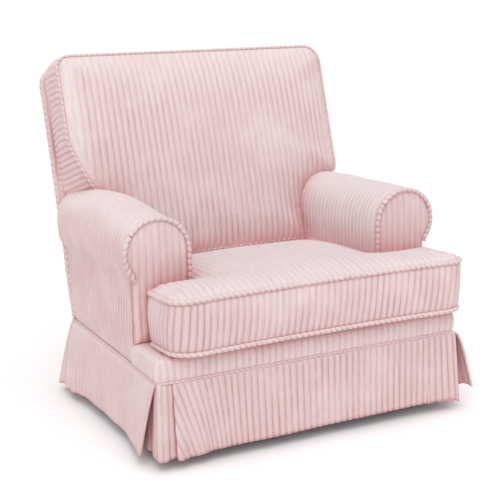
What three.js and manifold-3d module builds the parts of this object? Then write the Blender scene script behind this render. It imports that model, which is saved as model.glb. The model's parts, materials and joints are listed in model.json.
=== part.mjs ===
// Swivel glider nursery chair: rolled arms, a T-shaped seat cushion, a T-shaped back cushion and a
// kick-pleat skirt over a wooden frame, carried by a steel swivel base with four hanging links.
// Millimetres, +Z up. The sitter faces -Y. "left" is the -X side. The floor is z = 0.
import * as THREE from "three";
import { mergeVertices } from "three/addons/utils/BufferGeometryUtils.js";
import Module from "manifold-3d";

const wasm = await Module();
wasm.setup();

// ---- driving dimensions -------------------------------------------------------------------
const GAP = 0.3; // kept between touching pieces
const FIT = 2; // room kept round a piece that sits inside a cover
const DEG = Math.PI / 180;

// overall
const bodyHalf = 440; // half width of the border under the arms
const frontY = -462; // front face of the seat cushion
const backFootY = 233; // outside back at the skirt seam
const backHeight = 730; // of the outside back, along its slope
const backTilt = 17 * DEG;

// seat cushion
const seatZ = 302; // its underside at the front edge
const seatTilt = 3.5 * DEG; // the seat and the arms fall towards the back
const cushionHeight = 136;
const cushionOverhang = 5; // of its right ear past the border
const cushionSetIn = 35; // of its left ear from the end of the border
const cushionCorner = 55;
const sideGap = 4; // between a cushion and the arms

// arms
const armFrontY = -282; // face of the arm front panels
const armPanel = 14; // thickness of the arm front panels
const armSetIn = 2; // outer face of the arm inside the border's face
const rollOut = 20; // the roll stands out past the outer face of the arm
const rollR = 87;
const rollZ = 522;
const armWall = 14; // padding and cover on the arm frame
const stumpThick = 20;
const slatWidth = 60;
const slatThick = 20;
const slatRise = 34; // top of the slat over the middle of the roll

// back
const backFrame = 48; // depth of the wooden back with its cover
const coverWall = 6;
const backCushion = 118; // depth of the back cushion at its boxing
const backCushionSetIn = 11; // of each side inside the outside back
const backCorner = 50;

// wooden frame
const railBottom = 215;
const sideRailTop = 250;
const railThick = 25;
const railSetIn = 28; // of the rails inside the border's face
const postWidth = 30;
const postDepth = 36;
const backRailWide = 66;
const strapCount = 3;
const strapWidth = 60;
const strapFrom = 150; // lowest strap above the foot of the back
const strapTopGap = 110; // highest strap below the top rail

// border and skirt
const borderSetBack = 36; // of the border's face behind the seat cushion's
const borderThick = 22;
const borderCorner = 30;
const seamZ = 228; // seam between the border and the skirt
const hemZ = 30;
const skirtThick = 4;
const frontFlare = 12; // how far each hem stands out past its seam
const sideFlare = 40;
const backFlare = 64;
const pleatLeg = 70;
const pleatThick = 3;
const pleatOpen = 40; // how far a side panel's hem stops behind the front corner

// swivel base
const axisY = -50; // swivel axis
const ringR = 250;
const tubeR = 12.5;
const glideHeight = 6;
const glideR = 15;
const glideCount = 4;
const crossWidth = 50;
const crossThick = 6;
const hubR = 80;
const raceOuterR = 75;
const raceInnerR = 22;
const raceThick = 5;
const ballRingR = 48;
const ballR = 5;
const boltR = 8;
const boltHeadR = 15;
const boltHeadThick = 8;
const nutThick = 10;

// glider linkage
const pivotSpan = 220; // between front and rear pivots
const linkLength = 110; // pivot to pivot
const linkWidth = 26;
const linkThick = 5;
const pivotR = 5;
const pivotHoleR = 5.7;
const pivotGap = 3; // between a link and the plates on both sides of it
const rivetR = 8;
const bracketX = 166; // inner face of the bracket plate
const plateThick = 6;
const swivelBar = 30;
const swivelThick = 12;
const stripWidth = 26; // upper edge of a carriage side plate
const channelWidth = 34;
const channelHeight = 24.4;
const channelWall = 3;

// suspension
const springCount = 5;
const springSpacing = 108;
const springWireR = 2;
const springPitch = 42;
const springAmplitude = 22;
const deckThick = 6;

// ---- materials ----------------------------------------------------------------------------
const paint = (color, roughness, metalness = 0) =>
  new THREE.MeshStandardMaterial({ color, roughness, metalness });
const pinkFabric = paint(0xe6cfd1, 0.95);
const steel = paint(0x2b2c2f, 0.45, 0.9);
const zinc = paint(0xb9bcc0, 0.35, 1.0);
const springSteel = paint(0x6d7076, 0.4, 1.0);
const wood = paint(0xc9a877, 0.7);
const nylon = paint(0x222222, 0.6);
const webCloth = paint(0xd8d2c2, 0.9);

// ---- helpers ------------------------------------------------------------------------------
const SECTION_SIDES = 8;

function mesh(name, geometry, material, x = 0, y = 0, z = 0) {
  const m = new THREE.Mesh(geometry, material);
  m.name = name;
  m.position.set(x, y, z);
  return m;
}

function group(...children) {
  const g = new THREE.Group();
  g.add(...children);
  return g;
}

function box(x0, x1, y0, y1, z0, z1) {
  const g = new THREE.BoxGeometry(x1 - x0, y1 - y0, z1 - z0);
  return g.translate((x0 + x1) / 2, (y0 + y1) / 2, (z0 + z1) / 2);
}

function polygon(points) {
  return new THREE.Shape(points.map(([a, b]) => new THREE.Vector2(a, b)));
}

// A closed outline whose corners are rounded: each point is [a, b, radius].
function roundedOutline(points, segments = 5) {
  const out = [];
  points.forEach(([a, b, r = 0], i) => {
    const corner = new THREE.Vector2(a, b);
    if (!r) {
      out.push(corner);
      return;
    }
    const [pa, pb] = points.at(i - 1);
    const [na, nb] = points[(i + 1) % points.length];
    const toPrev = new THREE.Vector2(pa, pb).sub(corner).normalize();
    const toNext = new THREE.Vector2(na, nb).sub(corner).normalize();
    const turn = Math.acos(toPrev.dot(toNext));
    const reach = r / Math.tan(turn / 2);
    const start = corner.clone().addScaledVector(toPrev, reach);
    const end = corner.clone().addScaledVector(toNext, reach);
    const curve = new THREE.QuadraticBezierCurve(start, corner, end);
    out.push(...curve.getPoints(segments));
  });
  return new THREE.Shape(out);
}

// Extrusions of a flat outline along each axis, between two places on that axis.
function alongZ(shape, z0, z1) {
  const g = new THREE.ExtrudeGeometry(shape, {
    depth: z1 - z0,
    bevelEnabled: false,
    curveSegments: SECTION_SIDES,
  });
  return g.translate(0, 0, z0);
}

// The outline's axes are x and z.
function alongY(shape, y0, y1) {
  return alongZ(shape, 0, y1 - y0).rotateX(Math.PI / 2).translate(0, y1, 0);
}

// The outline's axes are y and z.
function alongX(shape, x0, x1) {
  const turn = new THREE.Matrix4().makeBasis(
    new THREE.Vector3(0, 1, 0),
    new THREE.Vector3(0, 0, 1),
    new THREE.Vector3(1, 0, 0),
  );
  return alongZ(shape, 0, x1 - x0).applyMatrix4(turn).translate(x0, 0, 0);
}

function moveVertices(geometry, move) {
  const p = geometry.getAttribute("position");
  const v = new THREE.Vector3();
  for (let i = 0; i < p.count; i++) {
    v.fromBufferAttribute(p, i);
    move(v);
    p.setXYZ(i, v.x, v.y, v.z);
  }
  return geometry;
}

function solid(geometry) {
  const bare = geometry.clone();
  bare.deleteAttribute("normal");
  bare.deleteAttribute("uv");
  const merged = mergeVertices(bare, 1e-3);
  const triVerts = new Uint32Array(merged.index.array);
  const vertProperties = merged.attributes.position.array;
  return new wasm.Manifold(new wasm.Mesh({ numProp: 3, vertProperties, triVerts }));
}

function geometryOf(manifold) {
  const { vertProperties, triVerts } = manifold.getMesh();
  const g = new THREE.BufferGeometry();
  g.setAttribute("position", new THREE.BufferAttribute(vertProperties, 3));
  g.setIndex(new THREE.BufferAttribute(triVerts, 1));
  g.computeVertexNormals();
  return g;
}

const union = (...parts) => geometryOf(parts.map(solid).reduce((a, b) => a.add(b)));
const cut = (from, ...tools) =>
  geometryOf(tools.map(solid).reduce((a, b) => a.subtract(b), solid(from)));

// A turned piece: the outline is [radius, z] pairs, closed on itself.
function turned(outline, segments = 24) {
  const points = outline.map(([r, z]) => new THREE.Vector2(r, z));
  return new THREE.LatheGeometry(points, segments).rotateX(Math.PI / 2);
}

function washer(outerR, innerR, z0, z1) {
  const outline = [
    [innerR, z0],
    [outerR, z0],
    [outerR, z1],
    [innerR, z1],
    [innerR, z0],
  ];
  return turned(outline);
}

function torus(ring, tube, z, segments) {
  const outline = [];
  for (let i = 0; i <= SECTION_SIDES; i++) {
    const a = (i / SECTION_SIDES) * 2 * Math.PI + Math.PI / SECTION_SIDES;
    outline.push([ring + tube * Math.cos(a), z + tube * Math.sin(a)]);
  }
  return turned(outline, segments);
}

function rod(radius, x0, x1, y, z) {
  const g = new THREE.CylinderGeometry(radius, radius, x1 - x0, 12).rotateZ(Math.PI / 2);
  return g.translate((x0 + x1) / 2, y, z);
}

function hole(shape, a, b, r) {
  const path = new THREE.Path();
  path.absarc(a, b, r, 0, 2 * Math.PI, true);
  shape.holes.push(path);
  return shape;
}

// ---- places that several pieces share -------------------------------------------------------
const cushionRight = bodyHalf + cushionOverhang;
const cushionLeft = bodyHalf - cushionSetIn;
const armOuterX = bodyHalf - armSetIn;
const rollX = armOuterX + rollOut - rollR; // centre of the arm roll
const seatHalf = rollX - rollR; // between the middle plane and the arm's inner face
const backHalf = armOuterX;
const railHalf = bodyHalf - railSetIn;
const borderFrontY = frontY + borderSetBack;
const frontRailY = borderFrontY + borderThick;

const seatDrop = (y, fromY) => (y - fromY) * Math.tan(seatTilt);
const backPlaneY = (z) => backFootY + (z - seamZ) * Math.tan(backTilt);
const backFrontY = (z) => backPlaneY(z) - backFrame / Math.cos(backTilt);
const backTopY = backFootY + backHeight * Math.sin(backTilt);
const borderTop = seatZ - seatDrop(armFrontY, frontY) - 1.5 * FIT;
const armFoot = borderTop + 4 * FIT; // above it the arm's parts slope with the seat

// The springs lie under the deck, and the rails end just under the springs.
const springDepth = deckThick + 3 * GAP + springWireR;
const underSprings = (y) =>
  seatZ - seatDrop(y, frontY) - (springDepth + springWireR + GAP) / Math.cos(seatTilt);

const carriageTop = railBottom - channelHeight - 2 * GAP;
const linkX = bracketX + plateThick + pivotGap; // inner face of the links
const carriageX = linkX + linkThick + pivotGap; // inner face of the carriage side plates
const pivotEar = linkWidth / 2 + 2; // half width of a plate round a pivot
const upperPivotZ = carriageTop - pivotEar - 1;
const lowerPivotZ = upperPivotZ - linkLength;
const channelY = pivotSpan / 2 + pivotEar + 13 + channelWidth / 2;

// Its local x is the chair's, local y runs along the seat to the rear, local z = 0 is the underside
// of the seat cushion.
function onSeatPlane(...children) {
  const g = group(...children);
  g.position.set(0, frontY, seatZ);
  g.rotation.x = -seatTilt;
  return g;
}

// Its local z runs up the sloping back, and local y = 0 is the outside back.
function onBackPlane(...children) {
  const g = group(...children);
  g.position.set(0, backFootY, seamZ);
  g.rotation.x = -backTilt;
  return g;
}

function onSwivelAxis(...children) {
  const g = group(...children);
  g.position.set(0, axisY, 0);
  return g;
}

// The same pieces on both sides: make(side) builds the left-hand ones, and the right is mirrored.
function bothSides(make) {
  const right = group(...make("right"));
  right.scale.x = -1;
  return group(group(...make("left")), right);
}

// ---- swivel base ------------------------------------------------------------------------------
const ringZ = glideHeight + GAP + tubeR * Math.cos(Math.PI / SECTION_SIDES);
const crossZ = ringZ + tubeR * Math.cos(Math.PI / SECTION_SIDES) + GAP;
const lowerRaceZ = crossZ + crossThick + GAP;
const ballZ = lowerRaceZ + raceThick + GAP + ballR;
const upperRaceZ = ballZ + ballR + GAP;
const swivelZ = upperRaceZ + raceThick + GAP;
const nutZ = swivelZ + swivelThick + GAP;

function crossOutline() {
  const w = crossWidth / 2;
  const r = ringR;
  const bar = [];
  for (let i = 0; i < 4; i++) {
    const turn = (i * Math.PI) / 2;
    for (const [a, b] of [[w, w], [r, w], [r, -w]]) {
      // each quarter adds the inner corner and one arm's end
      bar.push([
        a * Math.cos(-turn) - b * Math.sin(-turn),
        a * Math.sin(-turn) + b * Math.cos(-turn),
      ]);
    }
  }
  return polygon(bar);
}

function kingBolt() {
  const head = crossZ - GAP;
  return turned(
    [
      [0, head - boltHeadThick],
      [boltHeadR, head - boltHeadThick],
      [boltHeadR, head],
      [boltR, head],
      [boltR, nutZ + nutThick + 4],
      [0, nutZ + nutThick + 4],
    ],
    12,
  );
}

function baseParts() {
  const cross = union(
    alongZ(crossOutline(), crossZ, crossZ + crossThick),
    new THREE.CylinderGeometry(hubR, hubR, crossThick, 24)
      .rotateX(Math.PI / 2)
      .translate(0, 0, crossZ + crossThick / 2),
  );
  const bore = new THREE.CylinderGeometry(boltR + FIT, boltR + FIT, 60, 16)
    .rotateX(Math.PI / 2)
    .translate(0, 0, crossZ);
  const parts = [
    mesh("floor_ring", torus(ringR, tubeR, ringZ, 36), steel),
    mesh("base_cross", cut(cross, bore), steel),
    mesh("bearing_lower_race", washer(raceOuterR, raceInnerR, lowerRaceZ, lowerRaceZ + raceThick), zinc),
    mesh("bearing_ball_ring", torus(ballRingR, ballR, ballZ, 24), zinc),
    mesh("king_bolt", kingBolt(), zinc),
    mesh("king_nut", washer(boltHeadR, boltR + GAP, nutZ, nutZ + nutThick), zinc),
  ];
  for (let i = 0; i < glideCount; i++) {
    const a = ((i + 0.5) / glideCount) * 2 * Math.PI;
    const foot = new THREE.CylinderGeometry(glideR, glideR, glideHeight, 12).rotateX(Math.PI / 2);
    const at = [ringR * Math.cos(a), ringR * Math.sin(a), glideHeight / 2];
    parts.push(mesh(`floor_glide_${i + 1}`, foot, nylon, ...at));
  }
  return onSwivelAxis(...parts);
}

function swivelFrame() {
  const x = bracketX - GAP;
  const y = pivotSpan / 2;
  const z0 = swivelZ;
  const z1 = swivelZ + swivelThick;
  const frame = union(
    box(-x, -x + swivelBar, -y - swivelBar, y + swivelBar, z0, z1),
    box(x - swivelBar, x, -y - swivelBar, y + swivelBar, z0, z1),
    box(-x, x, -y, -y + swivelBar, z0, z1),
    box(-x, x, y - swivelBar, y, z0, z1),
    box(-raceOuterR, raceOuterR, -y, y, z0, z1),
  );
  const bore = new THREE.CylinderGeometry(boltR + FIT, boltR + FIT, 60, 16)
    .rotateX(Math.PI / 2)
    .translate(0, 0, z0);
  return cut(frame, bore);
}

// A plate with two ears. Each ear carries a welded pivot stud that the links hang from.
function bracket() {
  const half = pivotSpan / 2;
  const ear = pivotEar;
  const foot = swivelZ;
  const shoulder = swivelZ + swivelThick + 12;
  const top = upperPivotZ + ear;
  const outline = roundedOutline([
    [-half - ear, foot],
    [half + ear, foot],
    [half + ear, top, 10],
    [half - ear, top, 10],
    [half - ear - 8, shoulder, 10],
    [-half + ear + 8, shoulder, 10],
    [-half + ear, top, 10],
    [-half - ear, top, 10],
  ], 3);
  const plate = alongX(outline, -bracketX - plateThick, -bracketX);
  const from = -bracketX - 1;
  const studs = [-half, half].map((y) => rivet(from, -linkX - linkThick - GAP, y, upperPivotZ));
  return union(plate, ...studs);
}

function swivelParts() {
  return onSwivelAxis(
    mesh("bearing_upper_race", washer(raceOuterR, raceInnerR, upperRaceZ, upperRaceZ + raceThick), zinc),
    mesh("swivel_frame", swivelFrame(), steel),
    bothSides((side) => [mesh(`glider_bracket_${side}`, bracket(), steel)]),
  );
}

// ---- hanging links and the carriage they hold ---------------------------------------------------
// A stud from inside its plate through the link, headed over past the link.
function rivet(from, linkFace, y, z) {
  const away = Math.sign(linkFace - from);
  const tip = linkFace + away * (pivotGap - 3 * GAP);
  const shank = rod(pivotR, Math.min(from, tip), Math.max(from, tip), y, z);
  const head = rod(rivetR, Math.min(linkFace, tip), Math.max(linkFace, tip), y, z);
  return union(shank, head);
}

function link() {
  const w = linkWidth / 2;
  const outline = roundedOutline([
    [-w, lowerPivotZ - w, 12],
    [w, lowerPivotZ - w, 12],
    [w, upperPivotZ + w, 12],
    [-w, upperPivotZ + w, 12],
  ], 4);
  hole(outline, 0, upperPivotZ, pivotHoleR);
  hole(outline, 0, lowerPivotZ, pivotHoleR);
  return alongX(outline, -linkX - linkThick, -linkX);
}

function linkParts() {
  return onSwivelAxis(
    bothSides((side) => [
      mesh(`front_link_${side}`, link(), zinc, 0, -pivotSpan / 2, 0),
      mesh(`rear_link_${side}`, link(), zinc, 0, pivotSpan / 2, 0),
    ]),
  );
}

// A side plate with two drop legs. Each leg carries a welded stud that sits in the link's lower hole.
function carriageSide() {
  const half = pivotSpan / 2;
  const leg = pivotEar;
  const reach = channelY + channelWidth / 2;
  const foot = lowerPivotZ - leg;
  const strip = carriageTop - stripWidth;
  const outline = roundedOutline([
    [-reach, strip],
    [-half - leg - 8, strip, 8],
    [-half - leg, foot, 10],
    [-half + leg, foot, 10],
    [-half + leg + 8, strip, 8],
    [half - leg - 8, strip, 8],
    [half - leg, foot, 10],
    [half + leg, foot, 10],
    [half + leg + 8, strip, 8],
    [reach, strip],
    [reach, carriageTop],
    [-reach, carriageTop],
  ], 3);
  const plate = alongX(outline, -carriageX - plateThick, -carriageX);
  const from = -carriageX - 1;
  const studs = [-half, half].map((y) => rivet(from, -linkX + GAP, y, lowerPivotZ));
  return union(plate, ...studs);
}

// An inverted channel that spans the seat frame from side rail to side rail.
function carriageCross() {
  const w = channelWidth / 2;
  const z0 = carriageTop + GAP;
  const z1 = z0 + channelHeight;
  const wall = channelWall;
  const outline = polygon([
    [-w, z0],
    [-w + wall, z0],
    [-w + wall, z1 - wall],
    [w - wall, z1 - wall],
    [w - wall, z0],
    [w, z0],
    [w, z1],
    [-w, z1],
  ]);
  return alongX(outline, -railHalf, railHalf);
}

function carriageParts() {
  return onSwivelAxis(
    mesh("carriage_cross_front", carriageCross(), steel, 0, -channelY, 0),
    mesh("carriage_cross_rear", carriageCross(), steel, 0, channelY, 0),
    bothSides((side) => [mesh(`carriage_side_${side}`, carriageSide(), steel)]),
  );
}

// ---- wooden frame -------------------------------------------------------------------------------
const postOuter = backHalf - coverWall - 3 * FIT;
const postInner = postOuter - postWidth;
const backWoodY = -backFrame + FIT; // front face of the back's timbers, on the back plane
const railFoot = railBottom - seamZ;
const sideRailEnd = backFrontY(railBottom) - FIT;
const rearRailY = sideRailEnd - railThick;
const rearRailTop = underSprings(rearRailY + railThick);

function seatFrameParts() {
  const inner = railHalf - railThick;
  const y0 = frontRailY;
  const y1 = frontRailY + railThick;
  const front = box(-railHalf, railHalf, y0, y1, railBottom, underSprings(y1));
  const span = inner - GAP;
  const rear = box(-span, span, rearRailY, rearRailY + railThick, railBottom, rearRailTop);
  const side = box(-railHalf, -inner, y1 + GAP, sideRailEnd, railBottom, sideRailTop);
  return group(
    mesh("seat_rail_front", front, wood),
    mesh("seat_rail_rear", rear, wood),
    bothSides((name) => [mesh(`seat_rail_${name}`, side, wood)]),
  );
}

function backFrameParts() {
  const y0 = backWoodY;
  const y1 = backWoodY + postDepth;
  const railX = postInner - GAP;
  const top = backHeight - coverWall - FIT;
  const rail = (name, z0, z1) => mesh(name, box(-railX, railX, y0, y1, z0, z1), wood);
  const straps = [];
  const strapTo = top - strapTopGap - strapWidth;
  for (let i = 0; i < strapCount; i++) {
    const z = strapFrom + ((strapTo - strapFrom) * i) / (strapCount - 1);
    const strap = box(-railX, railX, y0 + 4, y0 + 6, z, z + strapWidth);
    straps.push(mesh(`back_webbing_${i + 1}`, strap, webCloth));
  }
  // the posts stop below the cover's rounded corners
  const post = box(-postOuter, -postInner, y0, y1, railFoot, top - backRailWide / 3);
  return onBackPlane(
    rail("back_rail_bottom", railFoot, railFoot + backRailWide),
    rail("back_rail_top", top - backRailWide, top),
    ...straps,
    bothSides((side) => [mesh(`back_post_${side}`, post, wood)]),
  );
}

// ---- arms ---------------------------------------------------------------------------------------
// The arm's outline in x and z, drawn in by inset: straight outside, a roll, straight inside.
function armPath(inset, foot, innerFoot) {
  const r = rollR - inset;
  const outer = -armOuterX + inset;
  const from = Math.PI + Math.asin((Math.sqrt(r * r - (outer + rollX) ** 2)) / r);
  const steps = 14;
  const path = [[outer, foot]];
  for (let i = 0; i <= steps; i++) {
    const a = from - (from * i) / steps;
    path.push([-rollX + r * Math.cos(a), rollZ + r * Math.sin(a)]);
  }
  path.push([-rollX + r, innerFoot]);
  return path;
}

function slopeArm(v) {
  if (v.z > armFoot) v.z -= seatDrop(v.y, armFrontY);
}

// Slopes the vertices at y0, and carries those behind them back to the sloping back, less a clearance.
function meetBack(v, y0, clearance) {
  if (v.y < y0 + 0.5) {
    slopeArm(v);
    return;
  }
  const drop = v.z > armFoot ? Math.tan(seatTilt) : 0;
  const lean = Math.tan(backTilt);
  const run = backFrontY(v.z) - clearance - armFrontY;
  v.z -= (drop * run) / (1 + drop * lean);
  v.y = backFrontY(v.z) - clearance;
}

function armCover() {
  const y0 = armFrontY + armPanel + GAP;
  const outer = armPath(0, seamZ, armFoot - 6);
  const inner = armPath(armWall, seamZ, armFoot - 6).reverse();
  const g = alongY(polygon([...outer, ...inner].reverse()), y0, y0 + 1);
  return moveVertices(g, (v) => meetBack(v, y0, GAP));
}

function armPanelGeometry() {
  const foot = borderTop + GAP;
  const outline = polygon(armPath(0, foot, foot).reverse());
  const g = alongY(outline, armFrontY, armFrontY + armPanel);
  return moveVertices(g, slopeArm);
}

function armStump() {
  const inset = armWall + FIT;
  const y0 = armFrontY + armPanel + GAP;
  const foot = sideRailTop + GAP;
  const g = alongY(polygon(armPath(inset, foot, foot).reverse()), y0, y0 + stumpThick);
  return moveVertices(g, slopeArm);
}

function armSlat() {
  const y0 = armFrontY + armPanel + stumpThick + 2 * GAP;
  const half = slatWidth / 2;
  const top = rollZ + slatRise;
  const g = box(-rollX - half, -rollX + half, y0, y0 + 1, top - slatThick, top);
  return moveVertices(g, (v) => meetBack(v, y0, FIT));
}

function armParts() {
  return bothSides((side) => [
    mesh(`arm_cover_${side}`, armCover(), pinkFabric),
    mesh(`arm_front_panel_${side}`, armPanelGeometry(), pinkFabric),
    mesh(`arm_stump_${side}`, armStump(), wood),
    mesh(`arm_slat_${side}`, armSlat(), wood),
  ]);
}

// ---- springs and seat -------------------------------------------------------------------------
// A zig-zag spring of round wire that runs from the front rail to the rear.
function sinuousSpring() {
  const from = frontRailY + 4 * FIT - frontY;
  const to = (rearRailY + railThick - frontY) / Math.cos(seatTilt) - 4 * FIT;
  const turns = 2 * Math.floor((to - from) / springPitch);
  const points = [];
  for (let i = 0; i <= turns; i++) {
    const y = from + (i * springPitch) / 2;
    const side = i % 2 ? 1 : -1;
    points.push([side * springAmplitude, y - 6], [side * springAmplitude, y + 6]);
  }
  return flatWire(points.map(([x, y]) => new THREE.Vector3(x, y, 0)), 5);
}

// A wire of few sides along a path that lies flat, with a mitre at each corner.
function flatWire(points, sides) {
  const position = [];
  const index = [];
  points.forEach((p, i) => {
    const before = points[Math.max(i - 1, 0)];
    const after = points[Math.min(i + 1, points.length - 1)];
    const inward = new THREE.Vector3().subVectors(p, before);
    const outward = new THREE.Vector3().subVectors(after, p);
    if (!inward.lengthSq()) inward.copy(outward);
    if (!outward.lengthSq()) outward.copy(inward);
    const t = inward.normalize().add(outward.normalize()).normalize();
    const n = new THREE.Vector3(t.y, -t.x, 0);
    for (let k = 0; k < sides; k++) {
      const a = (k / sides) * 2 * Math.PI;
      const q = p.clone().addScaledVector(n, springWireR * Math.cos(a));
      position.push(q.x, q.y, q.z + springWireR * Math.sin(a));
    }
  });
  const last = points.length - 1;
  for (let i = 0; i < last; i++)
    for (let k = 0; k < sides; k++) {
      const a = i * sides + k;
      const b = i * sides + ((k + 1) % sides);
      index.push(a, b + sides, b, a, a + sides, b + sides);
    }
  for (let k = 1; k < sides - 1; k++) {
    index.push(0, k, k + 1);
    index.push(last * sides, last * sides + k + 1, last * sides + k);
  }
  const g = new THREE.BufferGeometry();
  g.setAttribute("position", new THREE.Float32BufferAttribute(position, 3));
  g.setIndex(index);
  g.computeVertexNormals();
  return g;
}

function seatCushion() {
  const narrow = seatHalf - sideGap;
  const r = cushionCorner;
  // the ears stop just short of the arm fronts, and the rear just short of the back's frame
  const lean = cushionHeight * Math.sin(seatTilt);
  const earDepth = (armFrontY - FIT - lean - frontY) / Math.cos(seatTilt);
  const slope = Math.cos(seatTilt) + Math.sin(seatTilt) * Math.tan(backTilt);
  const cushionDepth = (backFrontY(seatZ) - FIT - frontY) / slope;
  const outline = roundedOutline([
    [-cushionLeft, 0, r],
    [cushionRight, 0, r],
    [cushionRight, earDepth, 20],
    [narrow, earDepth],
    [narrow, cushionDepth, 20],
    [-narrow, cushionDepth, 20],
    [-narrow, earDepth],
    [-cushionLeft, earDepth, 20],
  ], 6);
  return alongZ(outline, 0, cushionHeight);
}

function seatParts() {
  const deckHalf = seatHalf - sideGap;
  const deckEnd = (rearRailY + railThick - frontY) / Math.cos(seatTilt);
  const springs = [];
  for (let i = 0; i < springCount; i++) {
    const x = (i - (springCount - 1) / 2) * springSpacing;
    springs.push(mesh(`seat_spring_${i + 1}`, sinuousSpring(), springSteel, x, 0, -springDepth));
  }
  const deck = box(-deckHalf, deckHalf, frontRailY - frontY, deckEnd, -deckThick - GAP, -GAP);
  return onSeatPlane(
    mesh("seat_cushion", seatCushion(), pinkFabric),
    mesh("seat_deck", deck, webCloth),
    ...springs,
  );
}

// ---- back ---------------------------------------------------------------------------------------
function outsideBack() {
  const r = 45;
  const outer = roundedOutline([
    [-backHalf, 0],
    [backHalf, 0],
    [backHalf, backHeight, r],
    [-backHalf, backHeight, r],
  ]);
  const w = coverWall;
  const inner = roundedOutline([
    [-backHalf + w, -10],
    [backHalf - w, -10],
    [backHalf - w, backHeight - w, r - w],
    [-backHalf + w, backHeight - w, r - w],
  ]);
  return cut(alongY(outer, -backFrame, 0), alongY(inner, -backFrame - 10, -w));
}

// Where a plane that falls with the seat meets the depth y of the back, as a height on the back's
// slope. The plane passes through height z0 at fromY.
function restOn(y, z0, fromY) {
  const fall = Math.tan(seatTilt);
  const [sin, cos] = [Math.sin(backTilt), Math.cos(backTilt)];
  const rise = z0 - seamZ + y * sin - (backFootY + y * cos - fromY) * fall;
  return rise / (cos + sin * fall);
}

// The foot stands on the seat cushion, and the ears rest on the arm rolls.
function backCushionGeometry() {
  const rear = -backFrame - GAP;
  const narrow = seatHalf - sideGap;
  const half = backHalf - backCushionSetIn;
  const footR = 20;
  const earR = 40;
  const ear = 4 * earR; // clear of the foot, so the two are told apart below
  const outline = roundedOutline([
    [-narrow, 0, footR],
    [narrow, 0, footR],
    [narrow, ear],
    [half, ear, earR],
    [half, backHeight, backCorner],
    [-half, backHeight, backCorner],
    [-half, ear, earR],
    [-narrow, ear],
  ]);
  const seatTop = seatZ + cushionHeight / Math.cos(seatTilt) + 1.5 * FIT;
  const armTop = rollZ + rollR + FIT;
  return moveVertices(alongY(outline, rear - backCushion, rear), (v) => {
    if (v.z < ear - 1) v.z += restOn(v.y, seatTop, frontY);
    else if (v.z <= ear + earR + 1) v.z += restOn(v.y, armTop, armFrontY) - ear;
  });
}

function backParts() {
  return onBackPlane(
    mesh("outside_back", outsideBack(), pinkFabric),
    mesh("back_cushion", backCushionGeometry(), pinkFabric),
  );
}

// ---- border, skirt and underside ------------------------------------------------------------------
function frontBorder() {
  const x = bodyHalf;
  const t = borderThick;
  const rear = armFrontY + armPanel;
  const outline = roundedOutline([
    [-x, borderFrontY, borderCorner],
    [x, borderFrontY, borderCorner],
    [x, rear],
    [x - t, rear],
    [x - t, borderFrontY + t],
    [-x + t, borderFrontY + t],
    [-x + t, rear],
    [-x, rear],
  ]);
  return alongZ(outline, seamZ, borderTop);
}

const skirtTop = seamZ - GAP;

// A hanging panel: the outline's axes are along the wall and up, wall is the place of its outer face
// at the seam, and its hem stands out by flare.
function skirtPanel(outline, wall, flare, extrude, axis) {
  const out = Math.sign(wall);
  const inner = wall - out * skirtThick;
  const g = extrude(outline, Math.min(wall, inner), Math.max(wall, inner));
  return moveVertices(g, (v) => {
    v[axis] += (out * flare * (skirtTop - v.z)) / (skirtTop - hemZ);
  });
}

function skirtFront() {
  const x = bodyHalf - 4;
  const outline = polygon([
    [-x, skirtTop],
    [-x - 6, hemZ],
    [x + 6, hemZ],
    [x, skirtTop],
  ].reverse());
  return skirtPanel(outline, borderFrontY, frontFlare, alongY, "y");
}

function skirtBack() {
  const x = backHalf - 4;
  const outline = polygon([
    [-x, skirtTop],
    [-x - 6, hemZ],
    [x + 6, hemZ],
    [x, skirtTop],
  ].reverse());
  return skirtPanel(outline, backFootY, backFlare, alongY, "y");
}

function skirtSide() {
  const front = borderFrontY + 16;
  const rear = backFootY - 8;
  const outline = polygon([
    [front, skirtTop],
    [rear, skirtTop],
    [rear + backFlare - 8, hemZ],
    [front + pleatOpen, hemZ],
  ].reverse());
  return skirtPanel(outline, -bodyHalf, sideFlare, alongX, "x");
}

// The backing of an open kick pleat: a strip bent round the corner, behind both skirt panels.
function pleat(wallY, towards, flareY) {
  const x = -bodyHalf + skirtThick + FIT;
  const t = pleatThick;
  const cornerY = wallY + towards * (skirtThick + FIT);
  const legY = cornerY + towards * pleatLeg;
  const points = [
    [x, cornerY],
    [x + pleatLeg, cornerY],
    [x + pleatLeg, cornerY + towards * t],
    [x + t, cornerY + towards * t],
    [x + t, legY],
    [x, legY],
  ];
  if (towards < 0) points.reverse();
  const g = alongZ(polygon(points), hemZ, skirtTop);
  return moveVertices(g, (v) => {
    const low = (skirtTop - v.z) / (skirtTop - hemZ);
    v.x -= low * sideFlare;
    v.y -= towards * low * flareY;
  });
}

function skirtParts() {
  return group(
    mesh("front_border", frontBorder(), pinkFabric),
    mesh("skirt_front", skirtFront(), pinkFabric),
    mesh("skirt_back", skirtBack(), pinkFabric),
    bothSides((side) => [
      mesh(`skirt_${side}`, skirtSide(), pinkFabric),
      mesh(`pleat_front_${side}`, pleat(borderFrontY, 1, frontFlare), pinkFabric),
      mesh(`pleat_rear_${side}`, pleat(backFootY, -1, backFlare), pinkFabric),
    ]),
  );
}

const chair = group(
  baseParts(),
  swivelParts(),
  linkParts(),
  carriageParts(),
  seatFrameParts(),
  backFrameParts(),
  armParts(),
  seatParts(),
  backParts(),
  skirtParts(),
);

// The origin is on the floor, under the middle of the whole chair.
chair.position.y = -(frontY + backTopY) / 2;

export default chair;
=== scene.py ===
"""Looks of the swivel glider nursery chair: wide-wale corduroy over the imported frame.

Every soft piece is sewn from ribbed panels. A panel is a grid of points in metres; the grid's
first direction runs across the wales and the second along them. Ropes of piping close the seams.
"""

import json
import math

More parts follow.
